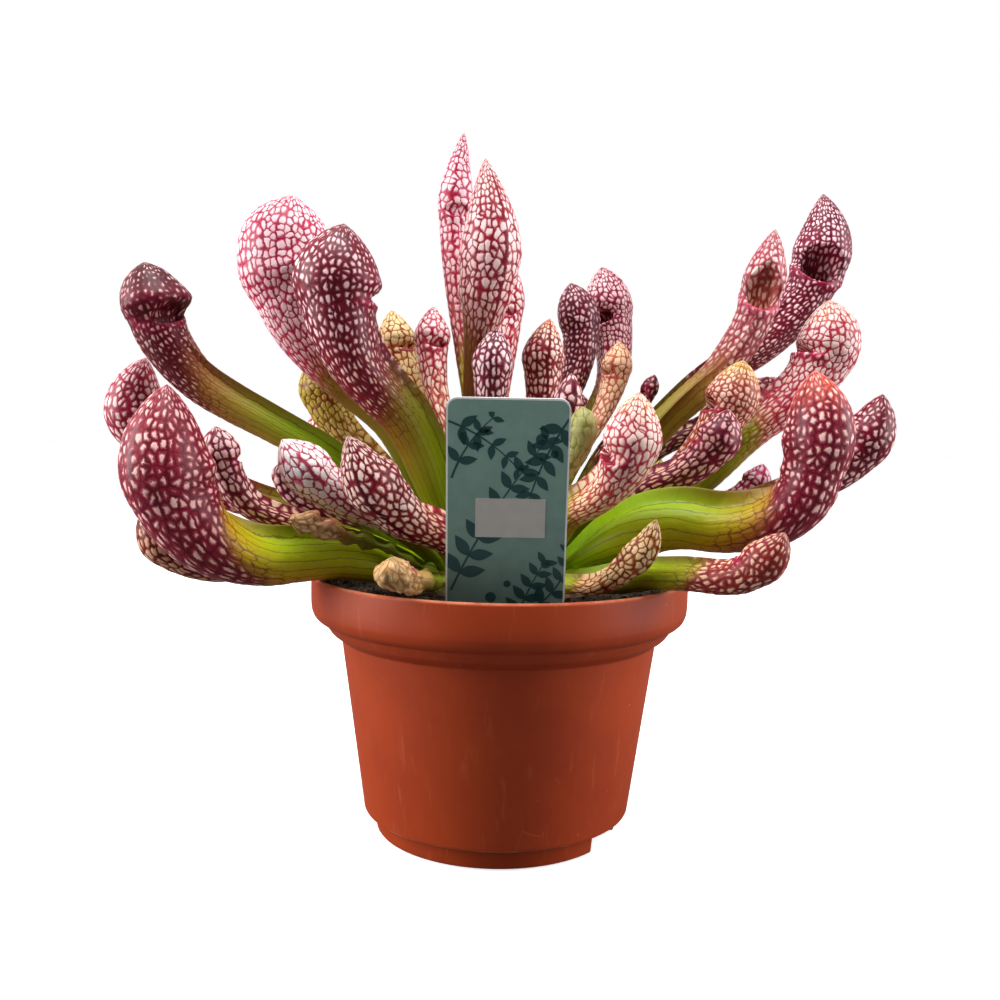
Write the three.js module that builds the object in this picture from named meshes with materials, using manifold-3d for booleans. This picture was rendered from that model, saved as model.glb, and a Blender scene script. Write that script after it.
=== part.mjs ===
// Potted pitcher plant: a moulded nursery pot filled with peat, a crown, hooded pitcher leaves and a plant label.
// Millimetres, +Z up. The origin is on the pot's axis, on the surface that the pot stands on.
// -Y is the front, where the label stands.
import * as THREE from 'three';
import { mergeVertices } from 'three/addons/utils/BufferGeometryUtils.js';
import Module from 'manifold-3d';

const wasm = await Module();
wasm.setup();

// ---------------------------------------------------------------- driving dimensions
const gap = 0.3; // clearance between pieces that touch

const pot = {
  rimRadius: 60,
  height: 82,
  wall: 1.4,
  rimBandBottom: 71.4, // lower end of the straight rim band
  stepRadius: 55.8, // second, narrower band under the rim
  stepTop: 67.4,
  stepBottom: 62.4,
  shoulderRadius: 50.4, // top of the tapered wall
  baseRadius: 42.7, // bottom of the tapered wall
  footTop: 6.6,
  footRadius: 38.6,
  footWidth: 3.4,
  floorBottom: 5.2,
  floorThickness: 1.6,
  sides: 44,
  footGaps: 2, // openings in the foot ring, which let the water out
  footGapWidth: 20,
  footGapHeight: 5.4,
  footGapTurn: -26, // compass direction of the first one, in degrees from +X
  holes: 4, // drain holes in the floor
  holeRadius: 4,
  holeCircle: 22,
};

const soil = { top: 77.5, crownRadius: 29, crownDepth: 14, sides: 36 };

const crown = { top: 79.4, edge: 78.2, socketDepth: 3.2, socketSides: 6, socketPlay: 0.6, stub: 5.5 };

const label = {
  width: 33,
  thickness: 0.8,
  top: 138,
  corner: 3,
  bladeBottom: 72, // where the blade starts to narrow to its point
  tip: 40,
  centreX: 1.5,
  footY: -46.9, // where the blade's middle crosses the height of the rim
  lean: 12.2, // degrees, top towards the front
};

const leaf = {
  rootRadius: 2.2,
  rootSpacing: 6.5,
  samples: 15, // points on a leaf's middle line
  easing: 300, // rounds of moving crowded leaves apart
  clearance: 0.7,
};

// One entry for each pitcher. path: points on its middle line from above the crown to the tip.
// faces: compass direction that its back faces, in degrees from +X. tube and hood: widths.
// hoodLength: lip to tip. gape: how much of that length the mouth takes up.
// neck: width at the lip as a share of the hood. flare: high for a tube that widens only just under the lip.
// taper: low for a pointed hood, high for a round one.
// twist: how far the hood turns about the leaf's own line.
const pitchers = [
  { name: 'left_01', faces: 242, path: [[-48, -23, 91], [-70, -34, 91], [-83, -40, 96], [-91, -43, 106], [-94, -44, 119], [-93, -44, 139]],
    tube: 16, hood: 26, hoodLength: 36, gape: 0.3, tone: 'maroon' },
  { name: 'left_02', faces: 182, path: [[-39, -1, 93], [-86, -2, 105], [-108, -3, 117], [-120, -3, 131], [-116, -3, 149]],
    tube: 11, hood: 19, hoodLength: 26, gape: 0.35, tone: 'pink' },
  { name: 'left_03', faces: 164, path: [[-54, -7, 116], [-75, -9, 129], [-96, -11, 142], [-107, -12, 155], [-110, -13, 167], [-112, -13, 177]],
    tube: 11.5, hood: 19.5, hoodLength: 19, gape: 0.35, neck: 0.84, taper: 2.4, twist: -18, tone: 'maroon' },
  { name: 'left_04', faces: 197, path: [[-60, -19, 96], [-76, -23, 103], [-83, -25, 115], [-85, -26, 126]],
    tube: 7.5, hood: 11.5, hoodLength: 12, gape: 0.35, taper: 2.4, tone: 'purple', small: true },
  { name: 'left_05', faces: 166, path: [[-34, 9, 127], [-54, 14, 146], [-67, 17, 162], [-73, 18, 184], [-71, 18, 204]],
    tube: 14, hood: 33, hoodLength: 37, gape: 0.3, neck: 0.78, taper: 3.2, flare: 2.3, tone: 'rose' },
  { name: 'left_06', faces: 200, path: [[-29, -9, 129], [-44, -13, 147], [-50, -15, 161], [-51, -15, 173], [-49, -15, 189]],
    tube: 15.5, hood: 26.5, hoodLength: 26, gape: 0.28, taper: 2, tone: 'maroon' },
  { name: 'left_07', faces: 155, path: [[-41, 19, 112], [-56, 26, 127], [-63, 29, 139], [-65, 30, 153]],
    tube: 10, hood: 17, hoodLength: 18, gape: 0.35, tone: 'olive' },
  { name: 'left_08', faces: 190, path: [[-57, -5, 100], [-67, -6, 105], [-70, -6, 110], [-70, -6, 116]],
    tube: 4.5, hood: 6.5, hoodLength: 8, gape: 0.35, tone: 'purple', small: true },
  { name: 'left_09', faces: 240, path: [[-38, -27, 97], [-50, -34, 105], [-58, -39, 113], [-64, -42, 121]],
    tube: 8.5, hood: 15, hoodLength: 17, gape: 0.4, twist: 60, tone: 'pink' },
  { name: 'left_10', faces: 229, path: [[-20, -21, 95], [-32, -34, 103], [-40, -43, 113], [-45, -48, 125]],
    tube: 13, hood: 16.5, hoodLength: 24, gape: 0.4, taper: 1.4, twist: 30, tone: 'purple' },
  { name: 'left_11', faces: 205, path: [[-53, -8, 91], [-73, -11, 86], [-91, -14, 86], [-103, -17, 93], [-106, -17, 106]],
    tube: 8, hood: 14.5, hoodLength: 19, gape: 0.3, tone: 'dark' },
  { name: 'centre_01', faces: 135, path: [[-23, 23, 127], [-32, 32, 143], [-37, 37, 155], [-40, 40, 170]],
    tube: 8, hood: 14, hoodLength: 17, gape: 0.4, taper: 1.6, tone: 'cream', small: true },
  { name: 'centre_02', faces: 115, path: [[-16, 15, 128], [-21, 22, 141], [-23, 26, 155], [-23, 30, 170]],
    tube: 6.5, hood: 12.5, hoodLength: 16, gape: 0.4, taper: 1.4, tone: 'pink', small: true },
  { name: 'centre_03', faces: 110, path: [[-9, 15, 131], [-14, 28, 162], [-17, 36, 187], [-18, 40, 209], [-15, 38, 232]],
    tube: 7.5, hood: 12.6, hoodLength: 34, gape: 0.3, taper: 1.3, tone: 'pink' },
  { name: 'centre_04', faces: 300, path: [[-13.5, -5, 130], [-12, -8, 146], [-8.5, -12, 164], [-6, -14, 184], [-8, -12, 210]],
    tube: 7, hood: 19, hoodLength: 42, gape: 0.25, taper: 1.4, flare: 4, tone: 'pink' },
  { name: 'centre_05', faces: 80, path: [[-5, 15, 128], [-2, 22, 158], [-1, 26, 170], [-1, 28, 185]],
    tube: 5.5, hood: 10, hoodLength: 20, gape: 0.3, tone: 'pink', small: true },
  { name: 'centre_06', faces: 265, path: [[-2, -10, 118], [-3, -15, 134], [-3, -18, 146], [-2, -16, 159]],
    tube: 6, hood: 12.7, hoodLength: 16, gape: 0.35, taper: 1.6, tone: 'purple', small: true },
  { name: 'centre_07', faces: 280, path: [[7, -6, 122], [12, -8, 139], [12, -8, 150], [14, -6, 163]],
    tube: 7, hood: 13.5, hoodLength: 18, gape: 0.35, taper: 1.5, tone: 'pink', small: true },
  { name: 'centre_08', faces: 290, path: [[9, -14, 113], [17, -22, 128], [20, -26, 136], [21, -26, 145]],
    tube: 4.5, hood: 8, hoodLength: 12, gape: 0.35, tone: 'purple', small: true },
  { name: 'centre_09', faces: 245, path: [[21, 25, 128], [28, 36, 142], [31, 42, 161], [27, 44, 180]],
    tube: 8, hood: 15, hoodLength: 20, gape: 0.35, taper: 2.4, tone: 'dark' },
  { name: 'centre_10', faces: 50, path: [[31, 30, 132], [39, 42, 150], [39, 50, 169], [35, 50, 189]],
    tube: 8.5, hood: 18, hoodLength: 22, gape: 0.4, taper: 2.2, tone: 'maroon' },
  { name: 'centre_11', faces: 40, path: [[30, 20, 122], [37, 28, 135], [41, 32, 146], [42, 32, 158]],
    tube: 5.5, hood: 10.5, hoodLength: 13, gape: 0.4, tone: 'cream', small: true },
  { name: 'centre_12', faces: 30, path: [[33, 19, 122], [46, 26, 136], [50, 29, 143], [52, 30, 149]],
    tube: 4, hood: 6, hoodLength: 8, gape: 0.35, tone: 'dark', small: true },
  { name: 'centre_13', faces: 300, path: [[13, -16, 107], [20, -26, 117], [24, -32, 126], [24, -32, 135]],
    tube: 5, hood: 8.5, hoodLength: 10, gape: 0.35, taper: 2.6, tone: 'olive', small: true },
  { name: 'right_01', faces: 345, path: [[21, -21, 102], [30, -30, 110], [37, -37, 120], [38, -38, 129], [39, -39, 139]],
    tube: 11.5, hood: 16.5, hoodLength: 20, gape: 0.3, tone: 'pink' },
  { name: 'right_02', faces: 84, path: [[61, 19, 133], [76, 24, 147], [87, 27, 164], [91, 28, 179], [94, 28, 196]],
    tube: 12.5, hood: 15, hoodLength: 26, gape: 0.45, taper: 1.5, tone: 'rose' },
  { name: 'right_03', faces: 55, path: [[69, 32, 140], [100, 45, 163], [115, 48, 180], [120, 49, 198], [119, 49, 216]],
    tube: 12.5, hood: 21.5, hoodLength: 32, gape: 0.4, taper: 1.6, tone: 'dark' },
  { name: 'right_04', faces: 14, path: [[65, 17, 112], [84, 22, 131], [100, 26, 143], [111, 28, 157], [111, 28, 175]],
    tube: 13, hood: 22, hoodLength: 24, gape: 0.35, taper: 2.3, tone: 'pale' },
  { name: 'right_05', faces: 7, path: [[59, 7, 114], [69, 8, 127], [75, 9, 139], [78, 9, 152]],
    tube: 9, hood: 17, hoodLength: 20, gape: 0.35, taper: 2.2, tone: 'olive' },
  { name: 'right_06', faces: 343, path: [[46, -6, 110], [59, -8, 116], [68, -9, 125], [71, -9, 135]],
    tube: 8.5, hood: 14, hoodLength: 15, gape: 0.35, tone: 'dark', small: true },
  { name: 'right_07', faces: 300, path: [[37, -15, 93], [54, -22, 100], [72, -29, 100.5], [86, -35, 107], [91, -37, 124], [89, -36, 145]],
    tube: 19.5, hood: 20, hoodLength: 30, gape: 0.3, taper: 2.3, tone: 'maroon' },
  { name: 'right_08', faces: 3, path: [[64, 2, 100], [93, 3, 110], [110, 4, 119], [118, 4, 128], [122, 4, 142]],
    tube: 10, hood: 16.5, hoodLength: 23, gape: 0.35, tone: 'maroon' },
  { name: 'right_09', faces: 5, path: [[64, 8, 103], [79, 11, 108], [85, 12, 113], [87, 12, 119]],
    tube: 5, hood: 9.5, hoodLength: 10, gape: 0.35, tone: 'pink', small: true },
  { name: 'right_10', faces: 300, path: [[30, -21, 84], [52, -36, 87], [66, -46, 88], [72, -50, 93], [76, -54, 101]],
    tube: 10, hood: 12, hoodLength: 16, gape: 0.25, tone: 'olive' },
  { name: 'right_11', faces: 312, path: [[26, -27, 83], [32, -33, 84], [38, -38, 89], [43, -42, 96], [45, -45, 104]],
    tube: 6, hood: 9, hoodLength: 18, gape: 0.25, taper: 1.7, tone: 'cream', small: true },
  { name: 'right_12', faces: 30, path: [[49, 20, 121], [72, 29, 132], [92, 37, 142], [99, 40, 149]],
    tube: 7, hood: 12.5, hoodLength: 14, gape: 0.35, tone: 'dark', small: true },
  { name: 'dry_01', faces: 250, path: [[-17, -36, 85], [-25, -50, 86], [-30, -58, 89], [-31, -61, 94]],
    tube: 4.5, hood: 10, hoodLength: 11, gape: 0.4, taper: 3, tone: 'dry', small: true },
  { name: 'dry_02', faces: 218, path: [[-34, -27, 93], [-46, -36, 98], [-53, -41, 101], [-60, -46, 103]],
    tube: 4, hood: 7, hoodLength: 11, gape: 0.4, taper: 2.4, tone: 'dry', small: true },
  { name: 'rear_01', faces: 62, path: [[20, 34, 110], [28, 49, 124], [30, 54, 142]],
    tube: 9, hood: 15, hoodLength: 19, gape: 0.4, tone: 'maroon', small: true },
  { name: 'rear_02', faces: 82, path: [[4, 34, 98], [6, 49, 106], [7, 55, 121]],
    tube: 10, hood: 16, hoodLength: 20, gape: 0.4, tone: 'pink' },
  { name: 'rear_03', faces: 100, path: [[-7, 34, 112], [-10, 49, 127], [-11, 54, 144]],
    tube: 8, hood: 13, hoodLength: 17, gape: 0.4, tone: 'rose', small: true },
  { name: 'rear_04', faces: 120, path: [[-22, 34, 97], [-33, 50, 104], [-37, 56, 120]],
    tube: 10, hood: 16, hoodLength: 20, gape: 0.4, tone: 'maroon' },
  { name: 'rear_05', faces: 145, path: [[-38, 27, 104], [-62, 44, 116], [-70, 50, 133]],
    tube: 9, hood: 14, hoodLength: 18, gape: 0.4, tone: 'pink', small: true },
  { name: 'rear_06', faces: 45, path: [[36, 34, 98], [53, 50, 106], [59, 55, 121]],
    tube: 9, hood: 14, hoodLength: 18, gape: 0.4, tone: 'olive', small: true },
];

const tones = {
  maroon: 0x7a1f33,
  dark: 0x5a1528,
  purple: 0x7c2f45,
  pink: 0xb45a6c,
  rose: 0xc06a7c,
  pale: 0xcf9c94,
  cream: 0xc9a86a,
  olive: 0x96933a,
  dry: 0xa5854f,
};

// ---------------------------------------------------------------- small helpers
const radians = THREE.MathUtils.degToRad;
const clamp01 = (x) => Math.min(1, Math.max(0, x));
const smooth = (x) => clamp01(x) ** 2 * (3 - 2 * clamp01(x));

function toSolid(geometry) {
  const bare = geometry.clone();
  bare.deleteAttribute('normal');
  bare.deleteAttribute('uv');
  const merged = mergeVertices(bare, 1e-4);
  return new wasm.Manifold(
    new wasm.Mesh({
      numProp: 3,
      vertProperties: new Float32Array(merged.attributes.position.array),
      triVerts: new Uint32Array(merged.index.array),
    }),
  );
}

function toGeometry(solid) {
  const mesh = solid.getMesh();
  const geometry = new THREE.BufferGeometry();
  geometry.setAttribute('position', new THREE.BufferAttribute(new Float32Array(mesh.vertProperties), 3));
  geometry.setIndex(new THREE.BufferAttribute(new Uint32Array(mesh.triVerts), 1));
  return geometry;
}

function placed(geometry, matrix) {
  return toSolid(geometry.clone().applyMatrix4(matrix));
}

function namedMesh(name, geometry, color, roughness) {
  geometry.computeVertexNormals();
  const mesh = new THREE.Mesh(geometry, new THREE.MeshStandardMaterial({ color, roughness, metalness: 0 }));
  mesh.name = name;
  return mesh;
}

// A lathe about Z from [radius, height] points that close on themselves or on the axis.
function latheAboutZ(points, sides) {
  const profile = points.map(([r, z]) => new THREE.Vector2(r, z));
  return new THREE.LatheGeometry(profile, sides).rotateX(Math.PI / 2);
}

// ---------------------------------------------------------------- pot
function potOutside() {
  return [
    [pot.footRadius, 0],
    [pot.footRadius + 0.5, pot.footTop - 0.9],
    [pot.baseRadius - 0.5, pot.footTop],
    [pot.baseRadius, pot.footTop + 0.6],
    [pot.shoulderRadius, pot.stepBottom - 0.5],
    [pot.shoulderRadius + 0.9, pot.stepBottom],
    [pot.stepRadius - 2, pot.stepBottom + 1.8],
    [pot.stepRadius - 0.5, pot.stepBottom + 4],
    [pot.stepRadius, pot.stepTop],
    [pot.stepRadius + 1.9, pot.stepTop + 0.8],
    [pot.rimRadius - 1, pot.rimBandBottom - 2],
    [pot.rimRadius - 0.2, pot.rimBandBottom],
    [pot.rimRadius, pot.rimBandBottom + 2.5],
    [pot.rimRadius, pot.height - 0.6],
    [pot.rimRadius - 0.6, pot.height],
  ];
}

function potInside() {
  const floorTop = pot.floorBottom + pot.floorThickness;
  return [
    [pot.rimRadius - pot.wall + 0.2, pot.height],
    [pot.rimRadius - pot.wall, pot.height - 0.6],
    [pot.rimRadius - pot.wall, pot.rimBandBottom + 1.5],
    [pot.rimRadius - pot.wall - 1.6, pot.rimBandBottom - 1.4],
    [pot.stepRadius - pot.wall, pot.stepTop + 0.4],
    [pot.stepRadius - pot.wall - 0.5, pot.stepBottom + 4.6],
    [pot.shoulderRadius - pot.wall, pot.stepBottom + 0.6],
    [pot.baseRadius - pot.wall, floorTop + 1.4],
    [pot.baseRadius - pot.wall - 1.4, floorTop],
    [0, floorTop],
  ];
}

function makePot() {
  const underside = [
    [0, pot.floorBottom],
    [pot.footRadius - pot.footWidth - 0.4, pot.floorBottom],
    [pot.footRadius - pot.footWidth, 0],
  ];
  let solid = toSolid(latheAboutZ([...underside, ...potOutside(), ...potInside()], pot.sides));
  const reach = 4 * pot.footWidth;
  const footGap = new THREE.BoxGeometry(reach, pot.footGapWidth, 2 * pot.footGapHeight);
  const hole = new THREE.CylinderGeometry(pot.holeRadius, pot.holeRadius, reach, 10).rotateX(Math.PI / 2);
  const cuts = [
    [footGap, pot.footGaps, pot.footRadius, 0],
    [hole, pot.holes, pot.holeCircle, pot.floorBottom],
  ];
  for (const [shape, count, circle, height] of cuts) {
    for (let i = 0; i < count; i += 1) {
      const turn = new THREE.Matrix4().makeRotationZ(radians(pot.footGapTurn + (360 / count) * i));
      solid = solid.subtract(placed(shape, turn.multiply(new THREE.Matrix4().makeTranslation(circle, 0, height))));
    }
  }
  return namedMesh('pot', toGeometry(solid), 0xb5532f, 0.55);
}

// ---------------------------------------------------------------- label
function labelGeometry(grow) {
  const half = label.width / 2 + grow;
  const top = label.top - label.bladeBottom + grow;
  const point = label.tip - label.bladeBottom - grow;
  const shape = new THREE.Shape();
  shape.moveTo(half, 0);
  shape.lineTo(half, top - label.corner);
  shape.absarc(half - label.corner, top - label.corner, label.corner, 0, Math.PI / 2);
  shape.absarc(-half + label.corner, top - label.corner, label.corner, Math.PI / 2, Math.PI);
  shape.lineTo(-half, 0);
  shape.lineTo(0, point);
  const thickness = label.thickness + 2 * grow;
  const blade = new THREE.ExtrudeGeometry(shape, { depth: thickness, bevelEnabled: false, curveSegments: 4 });
  blade.translate(0, 0, -thickness / 2);
  blade.rotateX(Math.PI / 2 + radians(label.lean));
  const rise = label.bladeBottom - pot.height;
  return blade.translate(label.centreX, label.footY - rise * Math.tan(radians(label.lean)), label.bladeBottom);
}

// ---------------------------------------------------------------- pitcher leaves
const up = new THREE.Vector3(0, 0, 1);

// A leaf stands upright in its socket before it bends outwards. Flat leaves grow from the crown's edge.
function rootPoints(entry, index) {
  const [x, y, z] = entry.path[0];
  const reach = Math.hypot(x, y);
  const flatness = clamp01(reach / (z - crown.top) / 1.6);
  const radius = 4 + (soil.crownRadius - 9) * flatness + (index % 3);
  const root = new THREE.Vector3((x / reach) * radius, (y / reach) * radius, crown.top - crown.socketDepth + gap);
  return [root, root.clone().setZ(root.z + crown.stub)];
}

function evenPoints(points, count) {
  const curve = new THREE.CatmullRomCurve3(points, false, 'centripetal');
  curve.arcLengthDivisions = 240;
  return curve.getSpacedPoints(count - 1);
}

function pathLength(points) {
  let length = 0;
  for (let i = 1; i < points.length; i += 1) length += points[i].distanceTo(points[i - 1]);
  return length;
}

// Half the leaf's width at a distance from its root. The tube widens to the lip, the hood swells and closes in a tip.
function halfWidth(entry, distance, length) {
  const lip = length - entry.hoodLength;
  const throat = (entry.neck ?? 0.86) * entry.hood;
  if (distance <= lip) {
    const u = distance / lip;
    const low = 2 * leaf.rootRadius + (entry.tube - 2 * leaf.rootRadius) * smooth(u / 0.45);
    return (low + (throat - entry.tube) * clamp01((u - 0.4) / 0.6) ** (entry.flare ?? 1.6)) / 2;
  }
  const s = (distance - lip) / entry.hoodLength;
  if (s < 0.32) return (throat + (entry.hood - throat) * smooth(s / 0.32)) / 2;
  return (entry.hood / 2) * (1 - clamp01((s - 0.32) / 0.68) ** (entry.taper ?? 1.9)) ** 0.85;
}

// The flat wing along the tube's inner side, as a share of the tube's width.
function wingHeight(entry, distance, length) {
  const lip = length - entry.hoodLength;
  const u = distance / lip;
  return 0.26 * entry.tube * smooth(u / 0.25) * (1 - smooth((u - 0.72) / 0.28));
}

// Lifts a point of a middle line clear of the soil and the rim, and moves it behind the label.
function standClear(p, radius, half) {
  const reach = Math.hypot(p.x, p.y);
  const below = reach < soil.crownRadius + radius ? crown.top + 0.4 : soil.top + 0.4;
  const nearRim = Math.abs(reach - pot.rimRadius + 1) < 5 + 0.5 * radius;
  const floor = (nearRim ? pot.height : below) + half + gap;
  if (p.z < floor) p.z = floor;
  const labelY = label.footY - (p.z - pot.height) * Math.tan(radians(label.lean));
  const beside = Math.abs(p.x - label.centreX) < label.width / 2 + radius;
  if (beside && p.z < label.top + radius && p.y < labelY + radius + 1) p.y = labelY + radius + 1;
}

// Keeps a root inside the crown's edge, at the bottom of its socket.
function onCrown(p) {
  const reach = Math.hypot(p.x, p.y);
  const most = soil.crownRadius - leaf.rootRadius - 1.6;
  const scale = Math.min(1, most / reach);
  return p.set(p.x * scale, p.y * scale, crown.top - crown.socketDepth + gap);
}

// Moves the sampled middle lines apart until the leaves stand clear of each other, of the rim and of the label.
function easeApart(entries) {
  const lines = entries.map((entry, index) => {
    const path = entry.path.map((p) => new THREE.Vector3(...p));
    const [root, stub] = rootPoints(entry, index);
    const points = [root, ...evenPoints([stub, ...path], leaf.samples - 1)];
    const length = pathLength(points);
    const distances = points.map((_, i) => pathLength(points.slice(0, i + 1)));
    const halves = distances.map((distance) => halfWidth(entry, distance, length));
    const radii = distances.map(
      (distance, i) => halves[i] * 0.98 + wingHeight(entry, distance, length) * 0.3 + leaf.clearance / 2,
    );
    radii[0] = leaf.rootSpacing / 2;
    radii[1] = Math.max(radii[1], radii[0]);
    return { points, radii, halves, moved: points.map(() => new THREE.Vector3()) };
  });
  const here = new THREE.Vector3();
  for (let round = 0; round < leaf.easing; round += 1) {
    const places = lines.map((line) => line.points.map((p, i) => p.clone().add(line.moved[i])));
    const pushes = lines.map((line) => line.points.map(() => new THREE.Vector3()));
    for (let a = 0; a < lines.length; a += 1) {
      for (let b = a + 1; b < lines.length; b += 1) {
        for (let i = 0; i < leaf.samples; i += 1) {
          for (let j = 0; j < leaf.samples; j += 1) {
            here.subVectors(places[a][i], places[b][j]);
            const apart = lines[a].radii[i] + lines[b].radii[j];
            const distance = here.length();
            if (distance >= apart || distance < 1e-6) continue;
            here.multiplyScalar((0.5 * (apart - distance)) / distance);
            here.set(here.x * 0.8, here.y * 1.2, here.z * 0.8);
            pushes[a][i].add(here);
            pushes[b][j].sub(here);
          }
        }
      }
    }
    lines.forEach((line, a) => {
      pushes[a][0].add(pushes[a][1]);
      const next = line.moved.map((m, i) => m.clone().add(pushes[a][i].clampLength(0, 1.2).multiplyScalar(0.5)));
      const root = onCrown(line.points[0].clone().add(next[0])).sub(line.points[0]);
      line.moved = next.map((m, i) => {
        if (i < 2) return root.clone();
        const before = next[i - 1];
        const after = next[Math.min(i + 1, leaf.samples - 1)];
        const eased = m.clone().multiplyScalar(0.7).addScaledVector(before, 0.15).addScaledVector(after, 0.15);
        const place = line.points[i].clone().add(eased);
        standClear(place, line.radii[i], line.halves[i]);
        return place.sub(line.points[i]);
      });
    });
  }
  return lines.map((line) => line.points.map((p, i) => p.clone().add(line.moved[i])));
}

// Angles round the section from the inner side: the wing's two corners and foot, then the round of the tube.
const wideColumns = [5, 14, 46, 80, 115, 150];
const slimColumns = [6, 18, 68, 128];

// A leaf as one closed skin. Its mouth is a pocket pushed into the hood's inner side between the lip and the brow.
function pitcherGeometry(entry, middle) {
  const line = evenPoints(middle, 90);
  const length = pathLength(line);
  const lip = length - entry.hoodLength;
  const brow = lip + entry.gape * entry.hoodLength;
  const half = entry.small ? slimColumns : wideColumns;
  const angles = [...half, ...half.map((d) => -d).reverse()].map(radians);
  const mouthAngle = radians(entry.small ? 60 : 62);
  const tubeRows = entry.small ? [0.17, 0.34, 0.55, 0.78] : [0.12, 0.22, 0.35, 0.5, 0.66, 0.83];
  const hoodRows = entry.small ? [0.66, 0.88] : [0.56, 0.76, 0.91];
  const rows = [
    { at: 0 },
    { at: crown.stub + 0.8 },
    ...tubeRows.map((u) => ({ at: u * lip })),
    { at: lip, flare: 0.07 },
    { at: lip + (brow - lip) * 0.3, pocket: -1 },
    { at: lip + (brow - lip) * 0.7, pocket: 1 },
    { at: brow, flare: 0.03 },
    ...hoodRows.filter((s) => s > entry.gape + 0.06).map((s) => ({ at: lip + s * entry.hoodLength })),
  ];
  const side = new THREE.Vector3(-Math.sin(radians(entry.faces)), Math.cos(radians(entry.faces)), 0);
  const positions = [];
  const addPoint = (p) => positions.push(p.x, p.y, p.z);
  for (const row of rows) {
    const step = (row.at / length) * (line.length - 1);
    const low = Math.min(Math.floor(step), line.length - 2);
    const centre = line[low].clone().lerp(line[low + 1], step - low);
    const ahead = line[Math.min(low + 3, line.length - 1)];
    const along = ahead.clone().sub(line[Math.max(low - 2, 0)]).normalize();
    const inner = along.clone().cross(side).normalize();
    const across = inner.clone().cross(along).normalize();
    const turn = radians(entry.twist ?? 0) * smooth(row.at / lip);
    inner.applyAxisAngle(along, turn);
    across.applyAxisAngle(along, turn);
    const wing = wingHeight(entry, row.at, length);
    const radius = halfWidth(entry, row.at, length) * (1 + (row.flare ?? 0));
    const slim = 1 - 0.2 * (1 - smooth((row.at / lip - 0.55) / 0.45));
    const deep = radius - wing / 2;
    for (const angle of angles) {
      let inward = Math.cos(angle) * deep - wing / 2;
      let sideways = Math.sin(angle) * radius * slim;
      let forward = 0;
      if (Math.abs(angle) < radians(10)) inward += wing;
      if (row.pocket && Math.abs(angle) < mouthAngle) {
        const depth = Math.cos((angle / mouthAngle) * 0.9);
        inward = -0.34 * radius * depth;
        sideways *= 0.8;
        forward = row.pocket * 0.1 * entry.hoodLength * depth;
      }
      addPoint(
        centre
          .clone()
          .addScaledVector(inner, inward)
          .addScaledVector(across, sideways)
          .addScaledVector(along, forward),
      );
    }
  }
  addPoint(line[0]);
  addPoint(line[line.length - 1]);
  const n = angles.length;
  const rootIndex = rows.length * n;
  const tipIndex = rootIndex + 1;
  const index = [];
  for (let c = 0; c < n; c += 1) {
    const d = (c + 1) % n;
    index.push(rootIndex, c, d);
    for (let r = 0; r < rows.length - 1; r += 1) {
      const a = r * n + c;
      const b = r * n + d;
      index.push(a, a + n, b, b, a + n, b + n);
    }
    index.push((rows.length - 1) * n + c, tipIndex, (rows.length - 1) * n + d);
  }
  const geometry = new THREE.BufferGeometry();
  geometry.setAttribute('position', new THREE.Float32BufferAttribute(positions, 3));
  geometry.setIndex(index);
  return geometry;
}

// ---------------------------------------------------------------- soil and crown
function makeSoil() {
  const inside = potInside()
    .filter(([, z]) => z < soil.top)
    .map(([r, z]) => [Math.max(r - gap, 0), z + gap]);
  const crownFloor = soil.top - soil.crownDepth;
  const profile = [
    ...inside.reverse(),
    [pot.rimRadius - pot.wall - gap, soil.top - 1],
    [pot.rimRadius - pot.wall - 2, soil.top],
    [soil.crownRadius + gap, soil.top],
    [soil.crownRadius + gap, crownFloor],
    [0, crownFloor],
  ];
  const slot = toSolid(labelGeometry(gap));
  return namedMesh('soil', toGeometry(toSolid(latheAboutZ(profile, soil.sides)).subtract(slot)), 0x2a1c14, 0.95);
}

function makeCrown(lines) {
  const bottom = soil.top - soil.crownDepth + gap;
  const profile = [
    [0, bottom],
    [soil.crownRadius - 3, bottom],
    [soil.crownRadius, bottom + 3],
    [soil.crownRadius, crown.edge],
    [soil.crownRadius - 2, crown.top],
    [0, crown.top],
  ];
  let solid = toSolid(latheAboutZ(profile, 28));
  const radius = leaf.rootRadius + crown.socketPlay + gap;
  const socket = new THREE.CylinderGeometry(radius, radius, 10, crown.socketSides).rotateX(Math.PI / 2);
  for (const line of lines) {
    const place = new THREE.Matrix4().makeTranslation(line[0].x, line[0].y, line[0].z - gap + 5);
    solid = solid.subtract(placed(socket, place));
  }
  return namedMesh('rhizome', toGeometry(solid), 0x5b3a26, 0.9);
}

// ---------------------------------------------------------------- the plant
const plant = new THREE.Group();
const middles = easeApart(pitchers);

plant.add(makePot());
plant.add(makeSoil());
plant.add(makeCrown(middles));
plant.add(namedMesh('plant_label', labelGeometry(0), 0x5f8478, 0.35));
pitchers.forEach((entry, index) => {
  plant.add(namedMesh(`pitcher_${entry.name}`, pitcherGeometry(entry, middles[index]), tones[entry.tone], 0.5));
});

export default plant;
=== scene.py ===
# Potted pitcher plant: a nursery pot with a clump of hooded, net-veined pitcher leaves and a plant label.
# Lengths in the dictionaries are millimetres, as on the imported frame. The label stands towards -Y.
import math

import bmesh
import bpy
import numpy as np
from mathutils import Matrix, Vector


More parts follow.
